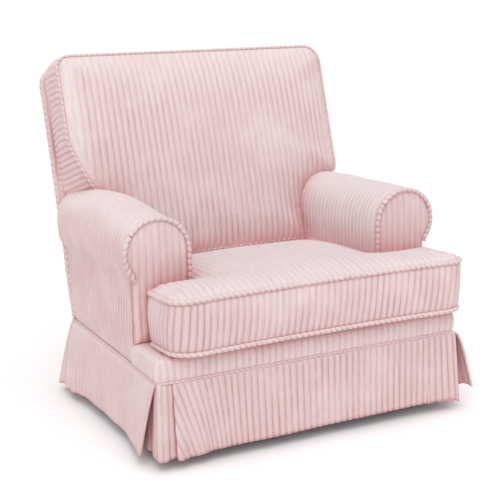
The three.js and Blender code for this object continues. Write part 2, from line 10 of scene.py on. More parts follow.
import bmesh
import bpy
import numpy as np
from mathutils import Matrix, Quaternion, Vector
from mathutils.kdtree import KDTree


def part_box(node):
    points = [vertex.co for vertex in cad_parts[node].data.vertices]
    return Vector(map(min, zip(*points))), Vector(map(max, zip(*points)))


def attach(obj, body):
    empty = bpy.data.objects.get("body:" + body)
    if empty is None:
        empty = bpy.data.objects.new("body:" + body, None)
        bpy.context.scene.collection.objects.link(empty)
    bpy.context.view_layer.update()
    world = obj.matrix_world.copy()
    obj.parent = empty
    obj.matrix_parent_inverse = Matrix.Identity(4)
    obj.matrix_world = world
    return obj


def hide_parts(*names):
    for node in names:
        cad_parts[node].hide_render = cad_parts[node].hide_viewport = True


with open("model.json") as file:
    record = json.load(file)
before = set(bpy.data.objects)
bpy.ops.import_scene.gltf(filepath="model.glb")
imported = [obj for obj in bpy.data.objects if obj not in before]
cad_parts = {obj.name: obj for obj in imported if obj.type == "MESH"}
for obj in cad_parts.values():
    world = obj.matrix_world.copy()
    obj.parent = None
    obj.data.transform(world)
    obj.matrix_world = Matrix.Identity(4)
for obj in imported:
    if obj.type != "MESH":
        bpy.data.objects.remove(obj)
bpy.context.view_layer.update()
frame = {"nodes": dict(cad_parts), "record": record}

MM = 0.001

# ---- the cloth -----------------------------------------------------------------------------------
WALE = 18.7 * MM  # from one wale to the next
WALE_RISE = 2.9 * MM  # crest above groove
STEPS = 6  # grid columns across one wale
COLUMN = WALE / STEPS
PIPING_R = 6.2 * MM
SEAM_R = 3.4 * MM
BEAD = 16.5 * MM  # from one bead of the piping to the next
SHEET_THICK = 3.5 * MM  # a skirt panel and its lining

# ---- the bag that a cushion is blown up in -------------------------------------------------------
BAG_GRID = 13 * MM  # the size of its faces
BAG_FRAMES = 20
BAG_PRESSURE = 4
BAG_STRETCH = 15  # stiffness along the cloth
BAG_BEND = 0.6  # stiffness against folding
BAG_MASS = 0.3
BAG_REACH = 9 * MM  # the most that a point of the cushion moves
SEAM_HOLD = 15 * MM  # the cloth this near a welt is held by it

# ---- places that the chair's pieces share --------------------------------------------------------
SEAT_TILT = math.radians(3.5)
BACK_TILT = math.radians(17)
SEAT_HIGH = 136 * MM
BACK_DEEP = 118 * MM
FRAME_DEEP = 48 * MM
ROLL_R = 87 * MM
STEM = 281 * MM  # half the width of either cushion between the arms

seat_low, seat_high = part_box("seat_cushion")
arm_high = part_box("arm_cover_right")[1]
panel_low, panel_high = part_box("arm_front_panel_right")
back_low, back_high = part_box("outside_back")
pillow_low, pillow_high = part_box("back_cushion")
border_low, border_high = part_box("front_border")

SEAM_Z = back_low.z
BACK_HIGH = (back_high.z - back_low.z - FRAME_DEEP * math.sin(BACK_TILT)) / math.cos(BACK_TILT)
BACK_FOOT = back_high.y - BACK_HIGH * math.sin(BACK_TILT)
SEAT_Z = seat_high.z - SEAT_HIGH * math.cos(SEAT_TILT)
ARM_FRONT = panel_low.y
ROLL_X = arm_high.x - ROLL_R
ROLL_Z = panel_high.z - ROLL_R
ARM_OUT = border_high.x - 2 * MM
CREASE_Z = ROLL_Z - math.sqrt(ROLL_R**2 - (ARM_OUT - ROLL_X) ** 2)  # where roll and side panel meet
SIDES = (("left", -1), ("right", 1))  # the sign is which way x runs out from the middle
SKIRT_TOP = SEAM_Z - 1 * MM
HEM_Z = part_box("skirt_front")[0].z
SKIRT_DROP = SKIRT_TOP - HEM_Z


# ---- numbers -------------------------------------------------------------------------------------
def ease(t):
    """A smooth step: 0 up to 0, and 1 from 1 on."""
    t = np.clip(t, 0, 1)
    return t * t * (3 - 2 * t)


def ripple(points, size, seed, waves=14):
    """A soft random field over points, about -1 to 1, whose lumps are about size across."""
    rng = np.random.default_rng(seed)
    way = unit(rng.normal(size=(waves, 3)))
    rate = math.pi / size * rng.uniform(0.6, 1.4, waves)
    phase = rng.uniform(0, 2 * math.pi, waves)
    flat = points.reshape(-1, 3) @ (way * rate[:, None]).T + phase
    return (np.sin(flat).sum(1) / math.sqrt(waves)).reshape(points.shape[:-1])


def wale_height(u):
    """0 in a groove and 1 on a crest, where u is the distance across the cloth."""
    return np.abs(np.cos(math.pi * u / WALE)) ** 0.75


def bell(at, size):
    """1 where at is 0, and nearly 0 from two sizes away."""
    return np.exp(-((at / size) ** 2))


def unit(vectors):
    return vectors / np.linalg.norm(vectors, axis=-1, keepdims=True)


def distances(line):
    """How far along a polyline each of its points is."""
    return np.concatenate([[0], np.cumsum(np.linalg.norm(np.diff(line, axis=0), axis=1))])


def even(line, count, closed=False):
    """count points at equal steps along a polyline, and how far along each one is."""
    line = np.asarray(line, float)
    if closed:
        line = np.vstack([line, line[:1]])
    far = distances(line)
    at = np.linspace(0, far[-1], count, endpoint=not closed)
    return np.stack([np.interp(at, far, line[:, k]) for k in range(line.shape[1])], 1), at


def resample(line, step, closed=False):
    """Points about a step apart along a polyline, and how far along each one is."""
    length = distances(np.vstack([line, line[:1]]) if closed else line)[-1]
    count = max(1, int(round(length / step)))
    return even(line, count if closed else count + 1, closed)


def smooth_line(line, times, closed):
    """Rounds a polyline by averaging each point with its neighbours."""
    out = line.copy()
    for _ in range(times):
        before, after = np.roll(out, 1, 0), np.roll(out, -1, 0)
        blurred = (before + 2 * out + after) / 4
        if not closed:
            blurred[0], blurred[-1] = out[0], out[-1]
        out = blurred
    return out


def distance_to(points, line):
    """How far each 2-D point is from a closed 2-D polyline, and how far along it the nearest place is."""
    way = np.roll(line, -1, 0) - line
    length = np.maximum(np.linalg.norm(way, axis=1), 1e-9)
    before = np.concatenate([[0], np.cumsum(length)[:-1]])
    nearest = np.full(len(points), 1e9)
    along = np.zeros(len(points))
    for start, step, size, passed in zip(line, way, length, before):
        t = np.clip(((points - start) @ step) / size**2, 0, 1)
        gap = np.linalg.norm(points - start - t[:, None] * step, axis=1)
        closer = gap < nearest
        nearest = np.where(closer, gap, nearest)
        along = np.where(closer, passed + t * size, along)
    return nearest, along


# ---- sewing --------------------------------------------------------------------------------------
class Cover:
    """Panels of cloth that are sewn into one mesh. rise is how far the wales lift each point, and
    cloth its place across and along the wales, and how far it is out of the groove, which
    sets the painted shade: the colour is darker in the grooves and beside the seams."""

    def __init__(self):
        self.points, self.rise, self.cloth, self.faces, self.count = [], [], [], [], 0
        # how pale each point is made, from 0 to 1, by wear and, on the arms, by painted light too
        self.wear_and_sheen = lambda points: np.zeros(len(points))

    def lay(self, points, u, v, fade=1.0, seam_shade=0.0):
        """Adds a panel's points and returns their numbers, in the panel's own shape. fade is how high
        the wales stand, and the last argument is 1 beside a seam and 0 away from it: there the
        colour is painted darker, as shade where the cloth dips into the seam."""
        shape = points.shape[:-1]
        u, v, fade, seam_shade = (np.broadcast_to(np.asarray(a, float), shape) for a in (u, v, fade, seam_shade))
        height = wale_height(u)
        self.points.append(points.reshape(-1, 3))
        self.rise.append((height * fade * WALE_RISE).ravel())
        # painted shade: the colour goes to the groove colour in the grooves and beside a seam
        groove = (1 - (1 - height) * np.clip(fade, 0, 1)) * (1 - 0.85 * seam_shade)
        self.cloth.append(np.stack([u, v, groove], -1).reshape(-1, 3))
        ids = np.arange(self.count, self.count + int(np.prod(shape))).reshape(shape)
        self.count += ids.size
        return ids

    def quads(self, ids, wrap=False, ring=False):
        """Joins a grid of point numbers with faces. wrap joins its last row to its first, and ring
        its last column to its first."""
        if ring:
            ids = np.hstack([ids, ids[:, :1]])
        if wrap:
            ids = np.vstack([ids, ids[:1]])
        corners = ids[:-1, :-1], ids[1:, :-1], ids[1:, 1:], ids[:-1, 1:]
        self.faces += np.stack([c.ravel() for c in corners], 1).tolist()

    def double(self, front, back):
        """Lays two layers of one panel and joins their four edges."""
        self.quads(front)
        self.quads(back)
        for a, b in ((front[:, 0], back[:, 0]), (front[:, -1], back[:, -1]),
                     (front[0], back[0]), (front[-1], back[-1])):
            self.quads(np.stack([a, b], 1))

    def zip(self, left, right):
        """Joins two closed loops of point numbers, each given with how far round each point is."""
        (a, at), (b, bt) = left, right
        i = j = 0
        while i < len(a) or j < len(b):
            now, then = a[i % len(a)], b[j % len(b)]
            next_a = at[i + 1] if i + 1 < len(a) else 1.0 if i < len(a) else 2.0
            next_b = bt[j + 1] if j + 1 < len(b) else 1.0 if j < len(b) else 2.0
            if next_a <= next_b:
                i += 1
                self.faces.append([now, a[i % len(a)], then])
            else:
                j += 1
                self.faces.append([now, b[j % len(b)], then])

    def sew(self, name, swell=None):
        """Makes the mesh: the wales rise along the normals of the bare shape."""
        points = np.vstack(self.points)
        if swell is not None:
            points = swell(points)
        bm = bmesh.new()
        cloth_layer = bm.verts.layers.float_vector.new("cloth")
        wear_and_sheen_layer = bm.verts.layers.float.new("wear_and_sheen")
        verts = [bm.verts.new(p) for p in points]
        for face in self.faces:
            corners = [verts[k] for k in dict.fromkeys(face)]
            if len(corners) > 2 and not bm.faces.get(corners):
                bm.faces.new(corners)
        bmesh.ops.recalc_face_normals(bm, faces=bm.faces)
        bm.normal_update()
        rise = np.concatenate(self.rise)
        cloth = np.vstack(self.cloth)
        # painted sheen: cloth that faces up is made pale, standing in for light from above and sheen at
        # grazing angles; the piece's own wear adds to it
        for vert, lift, place, piece_wear_and_sheen in zip(verts, rise, cloth, self.wear_and_sheen(points)):
            vert[wear_and_sheen_layer] = max(float(piece_wear_and_sheen), float(ease((vert.normal.z + 0.05) / 0.9)))
            vert.co += vert.normal * float(lift)
            vert[cloth_layer] = place
        for face in bm.faces:
            face.smooth = True
        mesh = bpy.data.meshes.new(name)
        bm.to_mesh(mesh)
        bm.free()
        return link(name, mesh)


def link(name, data):
    piece = bpy.data.objects.new(name, data)
    bpy.context.collection.objects.link(piece)
    return piece


def tree_of(points):
    """A tree that finds which of the points are nearest to a place."""
    tree = KDTree(len(points))
    for k, place in enumerate(points):
        tree.insert(place, k)
    tree.balance()
    return tree


def inflated(points, faces, seams):
    """Blows up a coarse copy of a cushion with the cloth simulation, with its seams held where the
    welts hold them, and returns a function that moves any points with it."""
    mesh = bpy.data.meshes.new("bare_cushion")
    mesh.from_pydata(points.tolist(), [], [list(dict.fromkeys(face)) for face in faces])
    bare = link("bare_cushion", mesh)
    remesh = bare.modifiers.new("remesh", "REMESH")
    remesh.mode = "VOXEL"
    remesh.voxel_size = BAG_GRID
    graph = bpy.context.evaluated_depsgraph_get()
    coarse = bpy.data.meshes.new_from_object(bare.evaluated_get(graph))
    bpy.data.objects.remove(bare)
    bag = link("cushion_bag", coarse)
    rest = np.array([v.co for v in coarse.vertices])
    welts = tree_of(seams)
    held = bag.vertex_groups.new(name="held_by_the_welts")
    held.add([k for k, place in enumerate(rest) if welts.find(place)[2] < SEAM_HOLD], 1.0, "REPLACE")
    cloth = bag.modifiers.new("cloth", "CLOTH")
    cloth.settings.vertex_group_mass = held.name
    cloth.settings.quality = 5
    cloth.settings.mass = BAG_MASS
    cloth.settings.tension_stiffness = BAG_STRETCH
    cloth.settings.compression_stiffness = BAG_STRETCH
    cloth.settings.bending_stiffness = BAG_BEND
    cloth.settings.use_pressure = True
    cloth.settings.uniform_pressure_force = BAG_PRESSURE
    cloth.settings.effector_weights.gravity = 0
    cloth.point_cache.frame_start = 1
    cloth.point_cache.frame_end = BAG_FRAMES
    for step in range(1, BAG_FRAMES + 1):
        bpy.context.scene.frame_set(step)
    blown = bag.evaluated_get(bpy.context.evaluated_depsgraph_get()).to_mesh()
    moved = np.array([v.co for v in blown.vertices]) - rest
    bpy.context.scene.frame_set(1)
    bpy.data.objects.remove(bag)
    size = np.maximum(np.linalg.norm(moved, axis=1, keepdims=True), 1e-9)
    # long moves are shortened smoothly
    moved *= BAG_REACH * (1 - np.exp(-size / BAG_REACH)) / size
    tree = tree_of(rest)

    def carry(other):
        """Moves each point as the six nearest points of the bag have moved."""
        out = other.copy()
        for k, place in enumerate(other):
            near = tree.find_n(place, 6)
            share = np.array([1 / (gap + 6 * MM) ** 2 for _, _, gap in near])
            out[k] += share @ moved[[index for _, index, _ in near]] / share.sum()
        return out

    return carry


def round_loop(points):
    """How far round each point of a closed loop is, from 0 to 1."""
    step = np.linalg.norm(np.roll(points, -1, 0) - points, axis=1)
    return np.concatenate([[0], np.cumsum(step)[:-1]]) / step.sum()


def rope(name, path, radius, closed, bead):
    """Piping covered in corduroy cut across its wales: each wale makes a fat bead round the cord."""
    line, at = resample(path, 2.4 * MM, closed)
    line = smooth_line(line, 2, closed)
    if closed:
        forward = np.roll(line, -1, 0) - np.roll(line, 1, 0)
        total = at[-1] + np.linalg.norm(line[0] - line[-1])
        bead = total / round(total / bead)
    else:
        forward = np.gradient(line, axis=0)
    forward = unit(forward)
    # across is square to the path and to a slanting direction, or to another where that runs along it
    across = np.cross(forward, (0.31, 0.17, 0.94))
    flat = np.linalg.norm(across, axis=1) < 0.35
    across[flat] = np.cross(forward[flat], (0.94, 0.31, 0.17))
    across = unit(across)
    up = np.cross(across, forward)
    turn = np.linspace(0, 2 * math.pi, 10, endpoint=False)
    # the beads slant round the cord, and are not quite alike
    sway = 0.22 * np.sin(turn[None, :] + 0.3) + 0.12 * ripple(line, 60 * MM, 5)[:, None]
    strand = np.abs(np.cos(math.pi * (at[:, None] / bead + sway))) ** 0.62
    reach = radius * (0.74 + 0.34 * strand)
    ring = across[:, None] * np.cos(turn)[None, :, None] + up[:, None] * np.sin(turn)[None, :, None]
    points = line[:, None] + ring * reach[..., None]
    cover = Cover()
    ids = cover.lay(points, 0.0, at[:, None], fade=0.0)
    # between the beads the colour goes to the groove colour: painted shade
    cover.cloth[-1][:, 2] = strand.ravel()
    cover.quads(ids, wrap=closed, ring=True)
    if not closed:
        cover.faces += [ids[0].tolist(), ids[-1].tolist()]
    return cover.sew(name)


# ---- boxed cushions ------------------------------------------------------------------------------
def boxed(place, span, stem, near, ear, far, thick, crown, bulge, seed,
          rows=(18, 34), underside=0.35, crumple=0.0, pitch=WALE, stand=1.0):
    """The cover of a boxed cushion, and the two lines of its piping. In its own plane x
    runs across and q from the near edge to the far one. Every column reaches from near(x) to
    ear(x), and the columns in stem go on to far(x).
    Their second argument is 1 for the face and 0 for the back, so the two may differ.
    place(x, q, w) puts a point on the chair, with w from 0 at the back of the cushion to thick.
    The face is crowned by crown, the back by underside times that, and the sides by bulge. rows are
    the rows of points before and after the ears, and pitch is the gap between the sides' wales.
    crumple is how wide a strip at the side seams has its wales worn flat and puckered, and stand
    is how high the wales stand, from 0 to 1."""
    x0, x1 = span
    inner = np.arange(math.ceil((x0 + 1e-6) / COLUMN), math.floor((x1 - 1e-6) / COLUMN) + 1) * COLUMN
    tips = np.array([0.4, 1.6]) * MM
    xs = np.unique(np.concatenate([[x0, x1], x0 + tips, x1 - tips, inner]))
    s0, s1 = (int(np.argmin(abs(xs - s))) for s in stem)
    fine = (1 - np.cos(np.linspace(0, math.pi, rows[0] + 1))) / 2
    slow = np.sin(np.linspace(0, math.pi / 2, rows[1] + 1))[1:]
    cover = Cover()

    def loop_of(ids):
        """The numbers of the outline's points, once round from the near edge's first corner."""
        a = ids[0]
        around = [a[:, 0], a[-1, 1:]]
        if len(ids) > 1:
            b = ids[1]
            around += [a[s1 : a.shape[0] - 1, -1][::-1], b[-1], b[:-1, -1][::-1], b[0, :-1][::-1]]
            around += [a[s0 : s0 + 1, -1], a[:s0, -1][::-1]]
        else:
            around += [a[:-1, -1][::-1]]
        around += [a[0, 1:-1][::-1]]
        return np.concatenate(around)

    # the face and the back, each a grid as wide as the ears and a narrower one beyond them
    loops, edges = {}, {}
    for face in (1, 0):
        first = near(xs, face)[:, None] + (ear(xs, face) - near(xs, face))[:, None] * fine
        grids = [(xs[:, None] + 0 * first, first)]
        if rows[1]:
            sx = xs[s0 : s1 + 1]
            start = ear(sx, face)
            second = start[:, None] + (far(sx, face) - start)[:, None] * slow
            grids.append((sx[:, None] + 0 * second, second))
        flat = np.concatenate([np.stack(g, -1).reshape(-1, 2) for g in grids])
        offsets = np.cumsum([0] + [g[0].size for g in grids])
        plan_ids = [np.arange(before, before + g[0].size).reshape(g[0].shape)
                    for before, g in zip(offsets, grids)]
        outline = flat[loop_of(plan_ids)]
        rounded = smooth_line(resample(outline, COLUMN, True)[0], 4, True)
        if face:
            count = len(resample(rounded, COLUMN, True)[0])
        edges[face] = even(rounded, count, True)[0]
        off, along = distance_to(flat, outline)
        size = crown if face else crown * underside
        puff = size * (1 - (1 - np.clip(off / (95 * MM), 0, 1)) ** 2) ** 0.72
        w = (thick - 3 * MM + puff) if face else (3 * MM - puff)
        fade = stand * ease(off / (11 * MM))
        if face and crumple:
            side_gap = np.minimum(flat[:, 0] - x0, x1 - flat[:, 0])
            # the strip beside the side seams, where the wales are worn flat
            wear_and_sheen = bell(np.minimum(side_gap, off), crumple) * (off > 0)
            fade = fade * (1 - 0.75 * wear_and_sheen)
            pucker = np.sin(2 * math.pi * along / (21 * MM) + 2 * np.sin(along / (37 * MM)))
            w = w + 2.6 * MM * pucker * wear_and_sheen * ease(off / (14 * MM))
        ids = []
        for k, (gx, gq) in enumerate(grids):
            part = slice(offsets[k], offsets[k + 1])
            flat_w = w[part].reshape(gx.shape)
            flat_fade = fade[part].reshape(gx.shape)
            # painted shade within 8 mm of the seam
            seam_shade = 1 - ease(off[part].reshape(gx.shape) / (8 * MM))
            points = place(gx, gq, flat_w)
            wander = 1.6 * MM * ripple(points, 350 * MM, seed + 3)
            soft = 1.5 * MM * ripple(points, 120 * MM, seed + face)
            soft = soft + 2 * MM * ripple(points, 300 * MM, seed + 5)
            points = place(gx, gq, flat_w + soft * ease(flat_fade))
            ids.append(cover.lay(points, gx + wander, gq, flat_fade, seam_shade))
        cover.quads(ids[0])
        if rows[1]:
            cover.quads(np.hstack([ids[0][s0 : s1 + 1, -1:], ids[1]]))
        loops[face] = (loop_of(ids), round_loop(outline))

    # the boxing between their rounded outlines
    edge, rear_edge = edges[1], edges[0]
    outward = unit(np.roll(edge, -1, 0) - np.roll(edge, 1, 0))
    outward = np.stack([outward[:, 1], -outward[:, 0]], 1)
    t = np.linspace(0, 1, 13)
    plan = edge[:, None] * (1 - t[None, :, None]) + rear_edge[:, None] * t[None, :, None]
    level = thick - 5 * MM - (thick - 10 * MM) * t[None, :] + 0 * plan[..., 0]
    hang = np.sin(math.pi * t) ** 0.8
    push = ripple(place(plan[..., 0], plan[..., 1], level), 90 * MM, seed + 7) * 2 * MM
    plan = plan + outward[:, None] * ((bulge + push) * hang)[..., None]
    band = place(plan[..., 0], plan[..., 1], level)
    clear = ease(np.minimum(t, 1 - t) * thick / (9 * MM))
    around = np.arange(count) * COLUMN
    whole = round(around[-1] / pitch) * WALE / around[-1]
    drift = 1.2 * MM * ripple(band, 200 * MM, seed + 9)
    # the band's edges, 1 - clear, are painted darker as seam shade
    ids = cover.lay(band, around[:, None] * whole + drift, t * thick, clear, 1 - clear)
    cover.quads(ids, wrap=True)
    # both loops start at the near edge's first corner, so the seam runs straight
    share = np.arange(count) / count
    cover.zip(loops[1], (ids[:, 0], share))
    cover.zip(loops[0], (ids[:, -1], share))

    def rim(line, height):
        """Where the piping lies on a seam."""
        out = line + outward * 1.5 * MM
        return place(out[:, 0], out[:, 1], np.full(count, height))

    return cover, rim(edge, thick - 2 * MM), rim(rear_edge, 2 * MM)


def seat_place(x, q, w):
    """q runs back from the front edge down the slope of the seat, and w up from its underside."""
    s, c = math.sin(SEAT_TILT), math.cos(SEAT_TILT)
    return np.stack([x, seat_low.y + q * c + w * s, SEAT_Z - q * s + w * c], -1)


def back_place(x, up, out):
    """up runs along the slope of the back from its foot, and out is measured forward of its rear."""
    s, c = math.sin(BACK_TILT), math.cos(BACK_TILT)
    return np.stack([x, BACK_FOOT + up * s - out * c, SEAM_Z + up * c + out * s], -1)


def corner(x, end, r):
    """How far an edge with corners of radius r draws in at x, where the edge ends at x = end."""
    d = np.clip(np.abs(x) - (end - r), 0, r)
    return r - np.sqrt(np.maximum(r * r - d * d, 0))


def make_seat_cushion():
    """A T-shaped cushion: its ears come forward of the arms, and its stem lies between them."""
    left, right = seat_low.x, seat_high.x
    lean = SEAT_HIGH * math.sin(SEAT_TILT)
    ear_q = (ARM_FRONT - 2 * MM - lean - seat_low.y) / math.cos(SEAT_TILT)
    depth = (seat_high.y - lean - seat_low.y) / math.cos(SEAT_TILT)
    middle, half = (left + right) / 2, (right - left) / 2

    def near(x, face):
        """The front edge draws back between its corners."""
        place = np.abs(x - middle) / half
        return corner(x - middle, half, (46 if face else 70) * MM) + 4 * MM - 21 * MM * place**2.4

    def ear(x, face):
        return ear_q - corner(x - middle, half, 30 * MM)

    def far(x, face):
        return depth - corner(x, STEM, 20 * MM)

    cover, top, bottom = boxed(seat_place, (left, right), (-STEM, STEM), near, ear, far,
                               thick=SEAT_HIGH, crown=28 * MM, bulge=7 * MM, seed=11)
    pressed_from = pillow_low.y - 200 * MM

    def press(points):
        """The back cushion presses the rear of the seat flat."""
        out = points.copy()
        plane = SEAT_Z + SEAT_HIGH / math.cos(SEAT_TILT) - (points[:, 1] - seat_low.y) * math.tan(SEAT_TILT)
        over = points[:, 2] - plane + 1 * MM
        share = ease((points[:, 1] - pressed_from) / (210 * MM))
        out[:, 2] -= np.maximum(over, 0) * share
        return out

    blow = inflated(np.vstack(cover.points), cover.faces, np.vstack([top, bottom]))
    piece = cover.sew("seat_cushion_cover", lambda points: press(blow(points)))
    finish_soft(piece, "seat_cushion")
    pipe("seat_piping_top", top)
    pipe("seat_piping_bottom", bottom)


def upholster(piece, finish):
    """Dresses a piece that is fixed to the chair."""
    piece.data.materials.append(finish)
    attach(piece, "chair")


def finish_soft(piece, node):
    """Covers a piece in corduroy that stands for a node, and hides the node."""
    upholster(piece, corduroy)
    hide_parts(node)


def pipe(name, line, radius=PIPING_R, closed=True, bead=BEAD):
    upholster(rope(name, line, radius, closed, bead), piping_cloth)


def make_back_cushion():
    """A T-shaped cushion stood on its stem, with its ears over the arms."""
    left, right = pillow_low.x, pillow_high.x - 11 * MM
    rear = FRAME_DEEP + 0.5 * MM
    cos_b, sin_b = math.cos(BACK_TILT), math.sin(BACK_TILT)

    def down_to(z):
        """How far down the slope from the top edge the cushion's face is at world height z."""
        return BACK_HIGH - (z - SEAM_Z - (rear + BACK_DEEP) * sin_b) / cos_b

    axis_z = ROLL_Z - (pillow_low.y + 60 * MM - ARM_FRONT) * math.tan(SEAT_TILT)
    split = down_to(axis_z)
    foot = down_to(pillow_low.z + 1 * MM)
    ear_rest = down_to(axis_z + ROLL_R + 4 * MM)

    def near(x, face):
        lift = 4 * MM * (x / right)
        return np.where(x > 0, corner(x, right, 50 * MM), corner(x, -left, 34 * MM)) + lift

    def ear(x, face):
        """The ears rest on the arms, and the stem's sides hug the arms' rolls."""
        a = np.abs(x)
        inside = np.clip(ROLL_X - a, 0, ROLL_R)
        hug = np.maximum(split - np.sqrt(np.maximum(ROLL_R**2 - inside**2, 0)) / cos_b, ear_rest)
        rest = ear_rest - corner(x, right, 34 * MM)
        # the left ear's face is cut away at its lower corner, while its back is nearly square
        cut = np.clip((-x - 340 * MM) / (-left - 340 * MM), 0, 1)
        taper = (165 * MM if face else 42 * MM) * cut ** (1.5 if face else 3)
        rest = np.where(x < 0, ear_rest - taper, rest)
        out = np.where(a > ROLL_X - 20 * MM, rest, hug)
        return np.where(a <= STEM, split, out)

    def far(x, face):
        return foot - corner(x, STEM + 6 * MM, 26 * MM)

    def place(x, q, w):
        return back_place(x, BACK_HIGH - q, rear + w)

    cover, front, back = boxed(place, (left, right), (-STEM, STEM), near, ear, far,
                               thick=BACK_DEEP, crown=26 * MM, bulge=9 * MM, seed=23, rows=(40, 14),
                               underside=0.0, crumple=26 * MM, pitch=17 * MM)
    seat_top = SEAT_Z + SEAT_HIGH / math.cos(SEAT_TILT) + 2 * MM

    def settle(points, lift=0.0):
        """The foot spreads on the slope of the seat, on which it stands."""
        out = points.copy()
        floor = seat_top + lift - (points[:, 1] - seat_low.y) * math.tan(SEAT_TILT)
        low = points[:, 2] < floor
        out[low, 2] = floor[low]
        return out

    blow = inflated(np.vstack(cover.points), cover.faces, np.vstack([front, back]))

    def strip(points):
        """Hands rub the face pale beside the left welt."""
        out = (points[:, 2] - SEAM_Z) * sin_b - (points[:, 1] - BACK_FOOT) * cos_b
        on_face = ease((out - rear - BACK_DEEP + 8 * MM) / (8 * MM))
        return 0.9 * on_face * ease((left + 80 * MM - points[:, 0]) / (60 * MM))

    cover.wear_and_sheen = strip
    piece = cover.sew("back_cushion_cover", lambda points: settle(blow(points)))
    finish_soft(piece, "back_cushion")
    pipe("back_piping_front", settle(front, 3 * MM), 4.8 * MM)
    pipe("back_piping_rear", settle(back, 3 * MM), 4.4 * MM)


def make_outside_back():
    """The thin padded cover of the back's frame."""
    half = back_high.x

    def near(x, face):
        return corner(x, half, 46 * MM)

    def ear(x, face):
        return 0 * x + BACK_HIGH - 1 * MM

    def place(x, q, w):
        return back_place(x, BACK_HIGH - q, FRAME_DEEP - w)

    cover, _, _ = boxed(place, (-half, half), (-half, half), near, ear, ear,
                        thick=FRAME_DEEP, crown=5 * MM, bulge=4 * MM, seed=31, rows=(60, 0), underside=0.0)
    finish_soft(cover.sew("outside_back_cover"), "outside_back")


# ---- arms ----------------------------------------------------------------------------------------
def arm_slope(points):
    """The arm's upper parts fall towards the back with the seat."""
    out = points.copy()
    above = ease((points[..., 2] - SEAM_Z) / (70 * MM))
    out[..., 2] -= above * (points[..., 1] - ARM_FRONT) * math.tan(SEAT_TILT)
    return out


def arm_section(inset, foot, inner_foot):
    """The arm's outline in x and z from the outer foot over the roll to the inner foot."""
    r = ROLL_R - inset
    out = ARM_OUT - inset
    crease = ROLL_Z - math.sqrt(r * r - (out - ROLL_X) ** 2)
    line = [(out, foot + (crease - foot) * t) for t in np.linspace(0, 1, 28)]
    start = -math.acos((out - ROLL_X) / r)
    angles = np.linspace(start, math.pi, 44)[1:]
    line += [(ROLL_X + r * math.cos(a), ROLL_Z + r * math.sin(a)) for a in angles]
    line += [(ROLL_X - r, ROLL_Z + (inner_foot - ROLL_Z) * t) for t in np.linspace(0, 1, 18)[1:]]
    return np.array(line)


def back_front_y(z):
    """Where the front of the back's frame is at height z."""
    return BACK_FOOT + (z - SEAM_Z) * math.tan(BACK_TILT) - FRAME_DEEP / math.cos(BACK_TILT)


def close_roll(cover, rim):
    """The panel that closes the rear of an arm's roll, where the roll stands out past the back."""
    middle = rim.mean(0)
    share = np.linspace(1, 0.05, 9)[:, None, None]
    layers = []
    for depth in (2 * MM, 6 * MM):
        points = middle + (rim - middle) * share
        points[..., 1] -= depth
        ids = cover.lay(points, points[..., 0], points[..., 2], 0.8 * ease((1 - share[..., 0]) / 0.15))
        cover.quads(ids, ring=True)
        cover.faces.append(ids[-1].tolist())
        layers.append(ids[0])
    cover.quads(np.stack(layers, 1), wrap=True)


def make_arm(side, sign):
    """The cover of an arm, wrapped over its roll: two layers with the padding between them. sign is
    -1 on the left and 1 on the right."""
    y0 = panel_high.y + 0.3 * MM
    foot = SEAM_Z + 0.5 * MM
    inner_foot = border_high.z - 1 * MM
    count = int(round((arm_high.y - y0) / COLUMN))
    # the left roll is stuffed fuller than the right one, and stands up more towards the back
    lift = 27 * MM if sign < 0 else 9 * MM
    cover = Cover()
    layers = []
    for inset in (0, 11 * MM):
        section = smooth_line(arm_section(inset, foot, inner_foot), 3, False)
        x = np.tile(section[:, 0], (count + 1, 1))
        z = np.tile(section[:, 1], (count + 1, 1))
        y = np.full_like(x, y0)
        # the cloth ends at the sloping back, and falls towards it, so its length settles in four rounds
        for _ in range(4):
            z_now = arm_slope(np.stack([x, y, z], -1))[..., 2]
            # the foot of the side panel tucks in beside the outside back
            tuck = 12 * MM * ease((SEAM_Z + 70 * MM - z_now) / (50 * MM))
            end = back_front_y(z_now) - 1 * MM + tuck
            y = y0 + (end - y0) * np.linspace(0, 1, count + 1)[:, None]
        points = arm_slope(np.stack([x, y, z], -1))
        far = distances(section)
        along = np.clip((y - y0) / (y.max() - y0), 0, 1)
        rise = lift * (ease(along / 0.55) * 0.75 + ease(along / 0.2) * 0.25)
        points[..., 2] += rise * ease((z - ROLL_Z + 40 * MM) / (110 * MM))
        if inset:
            ids = cover.lay(points, y, far, fade=0.0)
        else:
            # padding: the roll is fullest at mid-length, and the panel under it bellies out
            centre = arm_slope(np.stack([np.full_like(x, ROLL_X), y, np.full_like(x, ROLL_Z)], -1))
            way = unit(points - centre)
            on_roll = ease((z - (ROLL_Z - 60 * MM)) / (40 * MM))
            full = 3.5 * MM * np.sin(math.pi * along) ** 0.6
            full = full + ripple(points, 110 * MM, 41 + sign) * 2.4 * MM
            points = points + way * (full * on_roll * ease(along / 0.06))[..., None]
            belly = (1 - on_roll) * (x > ROLL_X) * np.sin(math.pi * np.clip((z - foot) / (230 * MM), 0, 1))
            points[..., 0] += belly * (5 * MM + 2.5 * MM * ripple(points, 130 * MM, 47 + sign))
            drift = 2.5 * MM * ripple(points, 160 * MM, 51 + sign)
            fade = ease((y - y0) / (8 * MM)) * ease((far - 1 * MM) / (6 * MM))
            ids = cover.lay(points, y + drift, far, fade)
            rim = points[-1, section[:, 1] > ROLL_Z - 76 * MM]
        layers.append(ids)
    cover.double(*layers)
    close_roll(cover, rim)
    if sign < 0:
        for block in cover.points:
            block[:, 0] *= -1
    # the inside of the roll and the inner side are made pale: partly wear, partly painted light bounced
    # from the seat and painted sheen
    cover.wear_and_sheen = lambda points: ease((ROLL_X - np.abs(points[:, 0])) / (60 * MM))
    finish_soft(cover.sew(f"arm_{side}_cover"), f"arm_cover_{side}")


